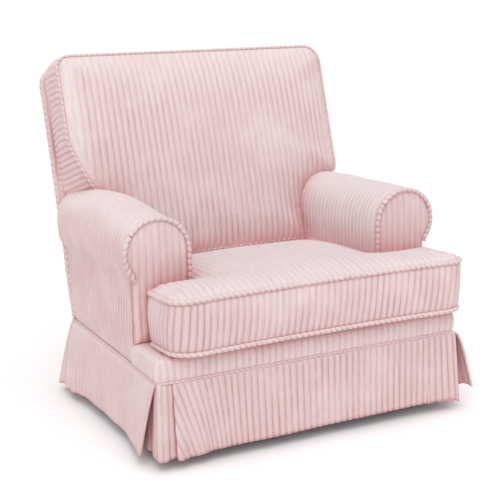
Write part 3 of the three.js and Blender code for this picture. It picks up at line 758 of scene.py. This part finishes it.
def make_arm_front(side, sign):
    """The keyhole-shaped panel that closes the front of an arm, and the piping round it."""
    x0, x1 = ROLL_X - ROLL_R, ROLL_X + ROLL_R
    foot = border_high.z + 1 * MM
    edge_r = 17 * MM  # of the soft edge below the roll

    def arc(x):
        """How far above and below its axis the roll's edge is at x."""
        return np.sqrt(np.maximum(ROLL_R**2 - (x - ROLL_X) ** 2, 0))

    def near(x, face):
        return ROLL_R - arc(x)

    def ear(x, face):
        return np.where(x > ARM_OUT, ROLL_R + arc(x), ROLL_R + ROLL_Z - CREASE_Z)

    def far(x, face):
        return 0 * x + ROLL_R + ROLL_Z - foot

    def place(x, q, w):
        """Below the roll the panel's outer edge turns back softly into the side of the arm."""
        z = ROLL_Z + ROLL_R - q
        below = ease((CREASE_Z + 14 * MM - z) / (30 * MM))
        past = np.clip((x - (ARM_OUT - edge_r)) / edge_r, 0, 0.99)
        thin = 1 - below * (1 - np.sqrt(1 - past**2))
        return np.stack([sign * x, panel_high.y - w * thin, z], -1)

    cover, _, _ = boxed(place, (x0, x1), (x0, ARM_OUT), near, ear, far,
                        thick=panel_high.y - panel_low.y, crown=10 * MM, bulge=1 * MM, seed=61 + sign,
                        rows=(30, 26), underside=0.0, stand=0.72)
    finish_soft(cover.sew(f"arm_{side}_front_panel"), f"arm_front_panel_{side}")
    # the piping starts inside, above the seat cushion, goes over the roll and ends in the crease
    low = math.acos((ARM_OUT - ROLL_X) / ROLL_R)
    angles = np.linspace(math.pi, -low, 60)
    line = [(x0, z) for z in np.linspace(foot, ROLL_Z, 20)[:-1]]
    line += [(ROLL_X + ROLL_R * math.cos(a), ROLL_Z + ROLL_R * math.sin(a)) for a in angles]
    line += [(ARM_OUT - 3 * MM, CREASE_Z - 12 * MM)]
    path = np.array([(sign * x, panel_low.y - 1 * MM, z) for x, z in line])
    pipe(f"arm_{side}_piping", path, closed=False)


# ---- border and skirt ----------------------------------------------------------------------------
def rounded_path(corners, radius, steps=10):
    """A polyline in x and y whose inner corners are arcs."""
    out = [np.array(corners[0], float)]
    for a, b, c in zip(corners, corners[1:], corners[2:]):
        a, b, c = (np.array(p, float) for p in (a, b, c))
        u, v = unit(a - b), unit(c - b)
        reach = radius / math.tan(math.acos(float(u @ v)) / 2)
        p, q = b + u * reach, b + v * reach
        for t in np.linspace(0, 1, steps):
            out.append((1 - t) ** 2 * p + 2 * t * (1 - t) * b + t * t * q)
    out.append(np.array(corners[-1], float))
    return np.array(out)


def outward_of(line):
    """Unit normals of a path in x and y, on its right-hand side."""
    way = unit(np.gradient(line, axis=0))
    return np.stack([way[:, 1], -way[:, 0]], 1)


def make_border():
    """The padded band under the seat cushion, whose top flap reaches in under the cushion."""
    x, y, rear = border_high.x, border_low.y, border_high.y
    path = rounded_path([(-x, rear), (-x, y), (x, y), (x, rear)], 17 * MM)
    line, at = resample(path, COLUMN)
    out = outward_of(line)
    high = border_high.z - SEAM_Z
    # the section goes up the face, over a soft top edge, inwards, and down the inside
    section = [(0, 0.5 * MM), (3 * MM, high * 0.15), (4.5 * MM, high * 0.4), (4 * MM, high * 0.6)]
    section += [(-20 * MM + 23 * MM * math.cos(a), high - 20 * MM + 21 * MM * math.sin(a))
                for a in np.linspace(0.15, math.pi / 2, 8)]
    section += [(-24 * MM, high + 1 * MM), (-34 * MM, high), (-48 * MM, high - 1 * MM)]
    section += [(-60 * MM, high - 2 * MM), (-60 * MM, high - 6 * MM), (-26 * MM, high - 6 * MM)]
    section += [(-24 * MM, high * 0.5), (-24 * MM, 0.5 * MM)]
    section = np.array(section)
    # in the middle the flap is short, because the deck and its springs are there
    wide = ease((np.abs(line[:, 0]) - 290 * MM) / (40 * MM))[:, None]
    reach = np.where(section[:, 0] < -26 * MM, -26 * MM + (section[:, 0] + 26 * MM) * wide, section[:, 0])
    far = distances(section)
    plan = line[:, None] + out[:, None] * reach[..., None]
    points = np.dstack([plan, np.broadcast_to(SEAM_Z + section[:, 1], plan.shape[:2])])
    top_part = (section[:, 1] > high * 0.6) & (section[:, 0] > -30 * MM)
    points[..., 2] += 1.5 * MM * ripple(points, 120 * MM, 71) * top_part
    fade = np.where(section[:, 0] > -59 * MM, 1.0, 0.0) * ease((far - 1 * MM) / (8 * MM))
    cover = Cover()
    drift = 1.2 * MM * ripple(points, 150 * MM, 73)
    ids = cover.lay(points, at[:, None] + drift, far, fade)
    cover.quads(ids, ring=True)
    cover.faces += [ids[0].tolist(), ids[-1].tolist()]
    cover.wear_and_sheen = lambda points: np.full(len(points), 0.45)
    finish_soft(cover.sew("border_cover"), "front_border")


def hang_sheet(cover, name, node):
    """Sews a cover that hangs from the seam by its top edge."""
    piece = cover.sew(name)
    finish_soft(piece, node)


def cloth_panel(name, node, seam, out, hang, seed, worn=1.0):
    """A hanging panel: seam is its top edge in x and y, and out its outward side. hang(at, t, length)
    gives, at a place along the seam's length and at t from 0 at the seam to 1 at the hem, how far
    the cloth has moved along, outward and down, and how far its wales have slanted along it. worn
    is how high the wales still stand, from 0 to 1."""
    pts, at = resample(seam, COLUMN)
    t = np.linspace(0, 1, 27)
    along = unit(np.gradient(pts, axis=0))
    shift, stand, droop, slant = hang(at[:, None], t[None, :], at[-1])
    cover = Cover()
    layers = []
    for depth in (0, SHEET_THICK):
        plan = pts[:, None] + along[:, None] * shift[..., None]
        plan = plan + np.array(out) * (stand - depth)[..., None]
        z = SKIRT_TOP - SKIRT_DROP * t[None, :] - droop
        points = np.dstack([plan, z + 0 * plan[..., 0]])
        u = at[:, None] - slant + 1.5 * MM * ripple(points, 180 * MM, seed)
        fade = 0.5 if depth else worn * ease(t * 20)
        layers.append(cover.lay(points, u, t * SKIRT_DROP, fade))
    cover.double(*layers)
    hang_sheet(cover, name, node)


def make_skirt():
    """Four panels that hang to the floor from the seam, with a pleat at each corner."""
    face, wall = border_low.y, border_high.x
    opening = 40 * MM  # from a corner to the panel's end, where the pleat shows

    def front_hang(at, t, length):
        """The left end of the front panel opens in a fan, and its right end is rubbed and swings out."""
        right = bell(length - at, 60 * MM)
        fan = 66 * MM * bell(at - 20 * MM, 105 * MM) * t**1.15
        folds = 5 * MM * np.cos(2 * math.pi * (at - 8 * MM) / (62 * MM)) * bell(at, 110 * MM)
        folds = folds + 1.5 * MM * np.sin(at / (110 * MM)) + 1 * MM * np.sin(at / (43 * MM) + 1)
        stand = 2 * MM * t**0.3 + t * (folds + 4 * MM + 10 * MM * bell(at, 90 * MM) + 6 * MM * right)
        sag = -5 * MM + 6 * MM * bell(at - 20 * MM, 60 * MM) + 10 * MM * bell(length - at, 12 * MM)
        droop = t * sag + t * 1.5 * MM * np.sin(at / (160 * MM))
        return 10 * MM * right * t + 0 * at, stand, droop, fan

    seam = [(-wall + opening, face), (wall + 2 * MM, face)]
    cloth_panel("skirt_front_panel", "skirt_front", seam, (0, -1), front_hang, 81)

    # the front end of each side panel: how far it flares, in how far, and how much its hem lifts
    ends = {"left": (20 * MM, 100 * MM, 0.8, 2 * MM), "right": (50 * MM, 70 * MM, 0.5, 30 * MM)}
    for side, sign in SIDES:
        flare, size, curve, lift = ends[side]

        def side_hang(at, t, length):
            """A side panel is straight in the middle, flares at both ends, and its front corner droops."""
            to_rear = length - at
            front, rear = bell(at, size), bell(to_rear, 110 * MM)
            shift = (38 * MM if sign < 0 else -6 * MM) * bell(at, 130 * MM) * t
            stand = 15 * MM * t**0.4 + flare * front * t**curve + 26 * MM * rear * t**0.45
            stand = stand + t * (2 * MM * np.sin(at / (50 * MM)) + 1.5 * MM * np.sin(at / (23 * MM) + 2))
            folds = 4 * MM * t * np.cos(2 * math.pi * to_rear / (46 * MM))
            stand = stand + folds * bell(to_rear, 70 * MM)
            sag = 9 * MM * bell(at, 16 * MM) - lift * bell(at, 60 * MM) - 5 * MM * (1 - rear)
            droop = t**2 * sag
            return shift, stand, droop + t * 1.5 * MM * np.sin(at / (100 * MM)), 0 * stand

        y0, y1 = face + (12 * MM if sign < 0 else 2 * MM), BACK_FOOT - opening
        seam = [(sign * wall, y0), (sign * wall, y1)]
        cloth_panel(f"skirt_{side}_panel", f"skirt_{side}", seam, (sign, 0), side_hang, 85 + sign, worn=0.6)

    def back_hang(at, t, length):
        """The back panel stands out, and most at its two ends."""
        rim = bell(at, 90 * MM) + bell(length - at, 90 * MM)
        stand = 20 * MM * t**0.5 + t * (14 * MM + 12 * MM * rim + 3 * MM * np.sin(at / (90 * MM)))
        return 0 * stand, stand, t * 2 * MM * np.sin(at / (120 * MM)), 0 * stand

    seam = [(wall - opening, BACK_FOOT), (-wall + opening, BACK_FOOT)]
    cloth_panel("skirt_back_panel", "skirt_back", seam, (0, 1), back_hang, 91)

    for side, sign in SIDES:
        make_pleat(f"pleat_front_{side}", sign, face, 1, 11 * MM, 17 * MM)
        make_pleat(f"pleat_rear_{side}", sign, BACK_FOOT, -1, 44 * MM, 42 * MM)


def make_pleat(node, sign, wall_y, towards, aside, ahead):
    """The backing of a corner pleat: cloth that goes round the corner behind the panels' ends, and
    stands out at its hem, aside from the side wall and ahead of the front or rear one."""
    x = sign * (border_high.x - 1 * MM)
    y = wall_y + towards * 1 * MM
    leg = 86 * MM  # how far it goes along each side of the corner
    tuck = 9 * MM  # how far in its ends lie behind the panels

    def corner_line(step_x, step_y, radius):
        cx, cy = x + sign * step_x, y - towards * step_y
        return rounded_path([(x - sign * leg, cy), (cx, cy), (cx, y + towards * leg)], radius)

    upper, lower = corner_line(0, 0, 12 * MM), corner_line(aside, ahead, 34 * MM)
    rim, at = resample(lower, COLUMN)
    seam, _ = even(upper, len(rim))
    out = outward_of(rim)
    out *= np.sign((out * (rim - np.array([x - sign * leg, y + towards * leg]))).sum(1))[:, None]
    # where a panel covers it the backing tucks in behind
    bare = np.exp(-(((at - at[-1] / 2) / (34 * MM)) ** 4))
    t = np.linspace(0, 1, 25)
    cover = Cover()
    layers = []
    for depth in (0, 3 * MM):
        share = t[None, :, None] ** 0.8
        plan = seam[:, None] * (1 - share) + rim[:, None] * share
        fold = 3 * MM * np.cos(2 * math.pi * at / (44 * MM))[:, None] * t[None, :]
        inset = tuck * (1 - bare)[:, None] * np.minimum(1, 0.45 + t[None, :])
        plan = plan - out[:, None] * (depth + inset - fold)[..., None]
        sag = (5 * MM * bare - 4 * MM)[:, None] * t[None, :] ** 2
        points = np.dstack([plan, SKIRT_TOP - SKIRT_DROP * t[None, :] - sag])
        u = at[:, None] + 1.5 * MM * ripple(points, 100 * MM, 95)
        layers.append(cover.lay(points, u, t * SKIRT_DROP, fade=0.0 if depth else 0.8))
    cover.double(*layers)
    hang_sheet(cover, node + "_backing", node)


def make_seam_welt():
    """The thin welt in the seam between the chair and its skirt, all the way round."""
    x, y0, y1 = border_high.x + 1 * MM, border_low.y - 1 * MM, BACK_FOOT + 1 * MM
    corners = [(0, y0), (x, y0), (x, y1), (-x, y1), (-x, y0), (0, y0)]
    path = rounded_path(corners, 24 * MM)[:-1]
    line = np.column_stack([path, np.full(len(path), SEAM_Z)])
    pipe("skirt_seam_welt", line, SEAM_R, bead=15 * MM)


# ---- deck cloth and back straps ------------------------------------------------------------------
def woven(name, node, place, width, length):
    """Webbing pulled tight: place(a, b, w) puts a point on the chair, with a across from its middle,
    b along from its middle and w up from its underside. Its selvedges are a little thicker."""
    # a point every 4 mm across and every 8 mm along
    a = np.linspace(-width / 2, width / 2, max(9, int(width / (4 * MM))))
    b = np.linspace(-length / 2, length / 2, max(9, int(length / (8 * MM))))
    ga, gb = np.meshgrid(a, b, indexing="ij")
    edge = np.minimum(width / 2 - np.abs(ga), length / 2 - np.abs(gb))
    weave = 0.25 * MM * np.sin(2 * math.pi * ga / (8 * MM)) * np.sin(2 * math.pi * gb / (16 * MM))
    upper = 1.6 * MM + 0.5 * MM * bell(edge, 5 * MM) + weave
    lower = 0.2 * MM - weave
    cover = Cover()
    cover.double(*(cover.lay(place(ga, gb, w), ga, gb, fade=0.0) for w in (upper, lower)))
    piece = cover.sew(name)
    upholster(piece, slot_finish["webbing"])
    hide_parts(node)


def make_deck_and_straps():
    low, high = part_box("seat_deck")
    s, c = math.sin(SEAT_TILT), math.cos(SEAT_TILT)
    length = (high.y - low.y) / c - 1 * MM
    centre_y = (low.y + high.y) / 2
    under = high.z - length / 2 * s - 3 * MM

    def deck_place(a, b, w):
        return np.stack([a, centre_y + b * c + w * s, under - b * s + w * c], -1)

    woven("deck_cloth", "seat_deck", deck_place, high.x - low.x, length)
    s, c = math.sin(BACK_TILT), math.cos(BACK_TILT)
    for k in range(3):
        low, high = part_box(f"back_webbing_{k + 1}")
        cy, cz = (low.y + high.y) / 2, (low.z + high.z) / 2

        def strap_place(a, b, w, cy=cy, cz=cz):
            return np.stack([b, cy + a * s - (w - 1 * MM) * c, cz + a * c + (w - 1 * MM) * s], -1)

        wide = (high.z - low.z) / c - 1 * MM
        woven(f"back_strap_{k + 1}", f"back_webbing_{k + 1}", strap_place, wide, high.x - low.x)


# ---- materials -----------------------------------------------------------------------------------
# real sizes that the patterns are drawn to, each over about one lump of its noise
PATCH = 111 * MM  # a patch of pile that a hand has brushed another way
STROKE_WIDE, STROKE_LONG = 20 / 3 * MM, 62.5 * MM  # a stroke of the pile along a wale
TUFT = 3.03 * MM  # a tuft of pile: the real ones are 1 mm and wouldn't show
GRAIN_LONG, GRAIN_WIDE = 75.8 * MM, 11.36 * MM  # a band of poplar grain
THREAD = 3.93 * MM  # from one thread to the next: the real 1.5 mm wouldn't show
WAVE_BANDS = math.pi / 10  # a wave texture's bands at a scale of 1 are this far apart


def colour(code):
    """An sRGB hex value as the linear colour that a node takes."""
    parts = [int(code[k : k + 2], 16) / 255 for k in (0, 2, 4)]
    return [c / 12.92 if c <= 0.04045 else ((c + 0.055) / 1.055) ** 2.4 for c in parts] + [1.0]


def add(owner, kind, links=(), **settings):
    """Adds a node to a material or a world. settings are its sockets by name, or its own
    properties; links are pairs of a socket and the output that feeds it."""
    node = owner.node_tree.nodes.new("ShaderNode" + kind)
    for key, value in settings.items():
        name = key.replace("_", " ")
        if name in node.inputs:
            node.inputs[name].default_value = value
        else:
            setattr(node, key, value)
    for socket, output in links:
        owner.node_tree.links.new(node.inputs[socket], output)
    return node


def blank(kind, name):
    """A new material or world whose nodes are still to come."""
    owner = kind.new(name)
    owner.use_nodes = True
    owner.node_tree.nodes.clear()
    return owner


def make_corduroy(name, groove, crest, worn, pale):
    """Chenille corduroy, a cotton pile cut into wales: matte crests with a pale sheen at grazing
    angles, grooves painted redder as shade, patches where a palm has brushed the pile another
    way, worn places made pale, cloth that faces up painted pale as sheen, and painted shade in
    folds and under edges."""
    material = blank(bpy.data.materials, name)
    cloth = add(material, "Attribute", attribute_name="cloth")
    parts = add(material, "SeparateXYZ", [("Vector", cloth.outputs["Vector"])])
    place = add(material, "TexCoord")
    patches = add(material, "TexNoise", [("Vector", place.outputs["Object"])],
                  Scale=1 / PATCH, Detail=3.0, Roughness=0.55)
    lengthwise = add(material, "Mapping", [("Vector", cloth.outputs["Vector"])],
                     Scale=(1 / STROKE_WIDE, 1 / STROKE_LONG, 0.0))
    strokes = add(material, "TexNoise", [("Vector", lengthwise.outputs["Vector"])],
                  Scale=1.0, Detail=3.0, Roughness=0.6)
    tufts = add(material, "TexNoise", [("Vector", place.outputs["Object"])],
                Scale=1 / TUFT, Detail=2.0, Roughness=0.6)
    # painted shade: the colour goes from the crest colour to the darker, redder groove colour in the
    # grooves and beside the seams
    depth = add(material, "MapRange", [("Value", parts.outputs["Z"])],
                From_Min=0.0, From_Max=0.8, To_Min=0.0, To_Max=1.0)
    base = add(material, "MixRGB", [("Fac", depth.outputs["Result"])],
               Color1=colour(groove), Color2=colour(crest))
    shade = add(material, "MapRange", [("Value", patches.outputs["Fac"])],
                From_Min=0.45, From_Max=0.72, To_Min=0.0, To_Max=0.55)
    brushed = add(material, "MixRGB",
                  [("Fac", shade.outputs["Result"]), ("Color1", base.outputs["Color"])],
                  Color2=colour(worn))
    # pale where the cloth is worn, and painted sheen where it faces up
    wear_and_sheen_mark = add(material, "Attribute", attribute_name="wear_and_sheen")
    share = add(material, "MapRange", [("Value", wear_and_sheen_mark.outputs["Fac"])],
                From_Min=0.0, From_Max=1.0, To_Min=0.0, To_Max=0.75)
    wear_and_sheen = add(material, "MixRGB",
                 [("Fac", share.outputs["Result"]), ("Color1", brushed.outputs["Color"])],
                 Color2=colour(pale))
    streak = add(material, "MapRange", [("Value", strokes.outputs["Fac"])],
                 From_Min=0.3, From_Max=0.7, To_Min=0.93, To_Max=1.05)
    speck = add(material, "MapRange", [("Value", tufts.outputs["Fac"])],
                From_Min=0.3, From_Max=0.7, To_Min=0.96, To_Max=1.03)
    streaked = add(material, "MixRGB",
                   [("Color1", wear_and_sheen.outputs["Color"]), ("Color2", streak.outputs["Result"])],
                   blend_type="MULTIPLY", Fac=1.0)
    mottled = add(material, "MixRGB",
                  [("Color1", streaked.outputs["Color"]), ("Color2", speck.outputs["Result"])],
                  blend_type="MULTIPLY", Fac=1.0)
    # painted shade: where ambient occlusion finds a fold or an edge close by, the colour is multiplied
    # deeper pink, standing in for light that has gone from pile to pile there
    nook = add(material, "AmbientOcclusion", Distance=90 * MM, samples=6)
    closed_in = add(material, "MapRange", [("Value", nook.outputs["AO"])],
                    From_Min=0.9, From_Max=0.25, To_Min=0.0, To_Max=1.0)
    with_painted_shade = add(material, "MixRGB",
                   [("Fac", closed_in.outputs["Result"]), ("Color1", mottled.outputs["Color"])],
                   blend_type="MULTIPLY", Color2=colour("fcd6d6"))
    bump = add(material, "Bump", [("Height", tufts.outputs["Fac"])],
               Strength=0.5, Distance=1.2 * MM)
    surface = add(material, "BsdfPrincipled",
                  [("Base Color", with_painted_shade.outputs["Color"]), ("Normal", bump.outputs["Normal"])],
                  Roughness=0.95, IOR=1.46, Sheen_Weight=0.4, Sheen_Roughness=0.35,
                  Sheen_Tint=colour("fff6f6"))
    add(material, "OutputMaterial", [("Surface", surface.outputs["BSDF"])])
    return material


def make_hard_finish(name, tint, rough, metallic, grain, relief):
    """A hard skin whose gloss and level vary over lumps as wide as grain, with a bump as strong
    as relief."""
    material = blank(bpy.data.materials, name)
    place = add(material, "TexCoord")
    skin = add(material, "TexNoise", [("Vector", place.outputs["Object"])],
               Scale=1 / grain, Detail=4.0)
    gloss = add(material, "MapRange", [("Value", skin.outputs["Fac"])],
                From_Min=0.3, From_Max=0.7, To_Min=rough * 0.8, To_Max=min(1.0, rough * 1.25))
    bump = add(material, "Bump", [("Height", skin.outputs["Fac"])],
               Strength=relief, Distance=0.4 * MM)
    surface = add(material, "BsdfPrincipled",
                  [("Roughness", gloss.outputs["Result"]), ("Normal", bump.outputs["Normal"])],
                  Base_Color=colour(tint), Metallic=metallic)
    add(material, "OutputMaterial", [("Surface", surface.outputs["BSDF"])])
    return material


def make_wood():
    """Planed poplar: pale brown and dull, with soft bands of grain that run across the chair."""
    material = blank(bpy.data.materials, "planed_poplar")
    place = add(material, "TexCoord")
    along = add(material, "Mapping", [("Vector", place.outputs["Object"])],
                Scale=(1 / GRAIN_LONG, 1 / GRAIN_WIDE, 1 / GRAIN_WIDE))
    grain = add(material, "TexNoise", [("Vector", along.outputs["Vector"])],
                Scale=1.0, Detail=6.0, Roughness=0.65, Distortion=0.4)
    tone = add(material, "MixRGB", [("Fac", grain.outputs["Fac"])],
               Color1=colour("b98f5e"), Color2=colour("e0c297"))
    bump = add(material, "Bump", [("Height", grain.outputs["Fac"])],
               Strength=0.25, Distance=0.6 * MM)
    surface = add(material, "BsdfPrincipled",
                  [("Base Color", tone.outputs["Color"]), ("Normal", bump.outputs["Normal"])],
                  Roughness=0.62)
    add(material, "OutputMaterial", [("Surface", surface.outputs["BSDF"])])
    return material


def make_webbing():
    """Webbing and deck cloth, polypropylene and jute in a plain weave: straw-coloured and dull,
    with threads that cross over and under each other."""
    material = blank(bpy.data.materials, "woven_webbing")
    place = add(material, "TexCoord")
    weft, warp = (
        add(material, "TexWave", [("Vector", place.outputs["Object"])],
            Scale=WAVE_BANDS / THREAD, Distortion=0.6, bands_direction=way)
        for way in ("X", "Y")
    )
    weave = add(material, "MixRGB",
                [("Color1", weft.outputs["Color"]), ("Color2", warp.outputs["Color"])],
                blend_type="MULTIPLY", Fac=1.0)
    tone = add(material, "MixRGB", [("Fac", weave.outputs["Color"])],
               Color1=colour("b9ae94"), Color2=colour("ded5c0"))
    bump = add(material, "Bump", [("Height", weave.outputs["Color"])],
               Strength=0.5, Distance=0.8 * MM)
    surface = add(material, "BsdfPrincipled",
                  [("Base Color", tone.outputs["Color"]), ("Normal", bump.outputs["Normal"])],
                  Roughness=0.9)
    add(material, "OutputMaterial", [("Surface", surface.outputs["BSDF"])])
    return material


# the first colour, for the grooves and beside the seams, is painted shade
corduroy = make_corduroy("chenille_corduroy", "b98b8d", "d1baba", "d9caca", "ded5d5")
# the piping's pile is cut across its wales; the grooves between its beads are painted deeper pink as shade
piping_cloth = make_corduroy("cross_cut_corduroy", "ab7376", "d3bfbf", "d2c2c2", "dacfcf")
slot_finish = {
    # steel sprayed with powder and baked: near black and satin, with a fine orange peel
    "steel": make_hard_finish("powder_coated_steel", "1d1e20", 0.5, 0.0, 10 / 3 * MM, 0.3),
    # steel plated with bright zinc: pale grey and glossy, and faintly cloudy
    "zinc": make_hard_finish("zinc_plated_steel", "b4b6b8", 0.34, 1.0, 25 / 3 * MM, 0.1),
    # hard-drawn steel wire wiped with oil: dark grey and half glossy, under a thin uneven film
    "spring_steel": make_hard_finish("oiled_spring_wire", "55585c", 0.4, 1.0, 5 * MM, 0.2),
    # nylon moulded in a spark-eroded tool: black and dull, with a fine even grain
    "nylon": make_hard_finish("moulded_nylon", "141414", 0.55, 0.0, 2 * MM, 0.2),
    "wood": make_wood(),
    "webbing": make_webbing(),
}


def dress_hardware():
    """Gives every node that stays in sight the finish of its slot."""
    for part in frame["record"]["subparts"]:
        finish = slot_finish.get(part["material_slot"])
        if finish:
            node = frame["nodes"][part["node"]]
            node.data.materials.clear()
            node.data.materials.append(finish)


# ---- stage ---------------------------------------------------------------------------------------
FLOOR_HALF = 60  # metres


def aim(name, data, azimuth, elevation, away, target=(0, 0, 0), roll=0):
    """A light or camera that looks at target. azimuth is turned from the chair's front, to its
    left where it is below 0, and elevation is above level."""
    a, e = math.radians(azimuth), math.radians(elevation)
    back = Vector((math.sin(a) * math.cos(e), -math.cos(a) * math.cos(e), math.sin(e)))
    thing = link(name, data)
    thing.location = Vector(target) + back * away
    thing.rotation_mode = "QUATERNION"
    look = (-back).to_track_quat("-Z", "Y")
    thing.rotation_quaternion = look @ Quaternion((0, 0, 1), math.radians(roll))
    return thing


def make_stage():
    """A pale floor in soft studio light."""
    mesh = bpy.data.meshes.new("floor")
    corners = [(x * FLOOR_HALF, y * FLOOR_HALF, 0) for x, y in ((-1, -1), (1, -1), (1, 1), (-1, 1))]
    mesh.from_pydata(corners, [], [(0, 1, 2, 3)])
    floor = link("floor", mesh)
    # matt white paper
    paper = blank(bpy.data.materials, "pale_floor")
    surface = add(paper, "BsdfPrincipled", Base_Color=colour("ffffff"), Roughness=0.9)
    add(paper, "OutputMaterial", [("Surface", surface.outputs["BSDF"])])
    mesh.materials.append(paper)
    # a soft dome, white low down and dimmer overhead
    studio = blank(bpy.data.worlds, "studio")
    sky = add(studio, "TexCoord")
    parts = add(studio, "SeparateXYZ", [("Vector", sky.outputs["Generated"])])
    height = add(studio, "MapRange", [("Value", parts.outputs["Z"])],
                 From_Min=0.05, From_Max=0.5, To_Min=0.0, To_Max=1.0)
    dome = add(studio, "MixRGB", [("Fac", height.outputs["Result"])],
               Color1=colour("ffffff"), Color2=colour("c0b6b6"))
    glow = add(studio, "Background", [("Color", dome.outputs["Color"])])
    add(studio, "OutputWorld", [("Surface", glow.outputs["Background"])])
    bpy.context.scene.world = studio
    # big soft lights: one from the front, a little to the left, and one from above
    for name, azimuth, elevation, power, soft in (
        ("front_light", -34, 38, 1.25, 50),
        ("top_light", 10, 80, 1.1, 60),
    ):
        lamp = bpy.data.lights.new(name, "SUN")
        lamp.energy = power
        lamp.color = colour("fbffff")[:3]
        lamp.angle = math.radians(soft)
        aim(name, lamp, azimuth, elevation, away=4)
    bpy.context.scene.view_settings.view_transform = "Standard"


def make_camera():
    """Looks down a little from the left of the front, as a person standing does."""
    lens = bpy.data.cameras.new("camera")
    lens.lens = 84.8  # mm, for a film 36 mm wide
    lens.sensor_width = 36
    bpy.context.scene.camera = aim("camera", lens, azimuth=-26.3, elevation=13.5, away=3.4016,
                                   target=(0.0289, 0.0078, 0.4208), roll=-1.1)


make_camera()
make_seat_cushion()
make_back_cushion()
make_outside_back()
for side, sign in SIDES:
    make_arm(side, sign)
    make_arm_front(side, sign)
make_border()
make_skirt()
make_seam_welt()
make_deck_and_straps()
dress_hardware()
make_stage()
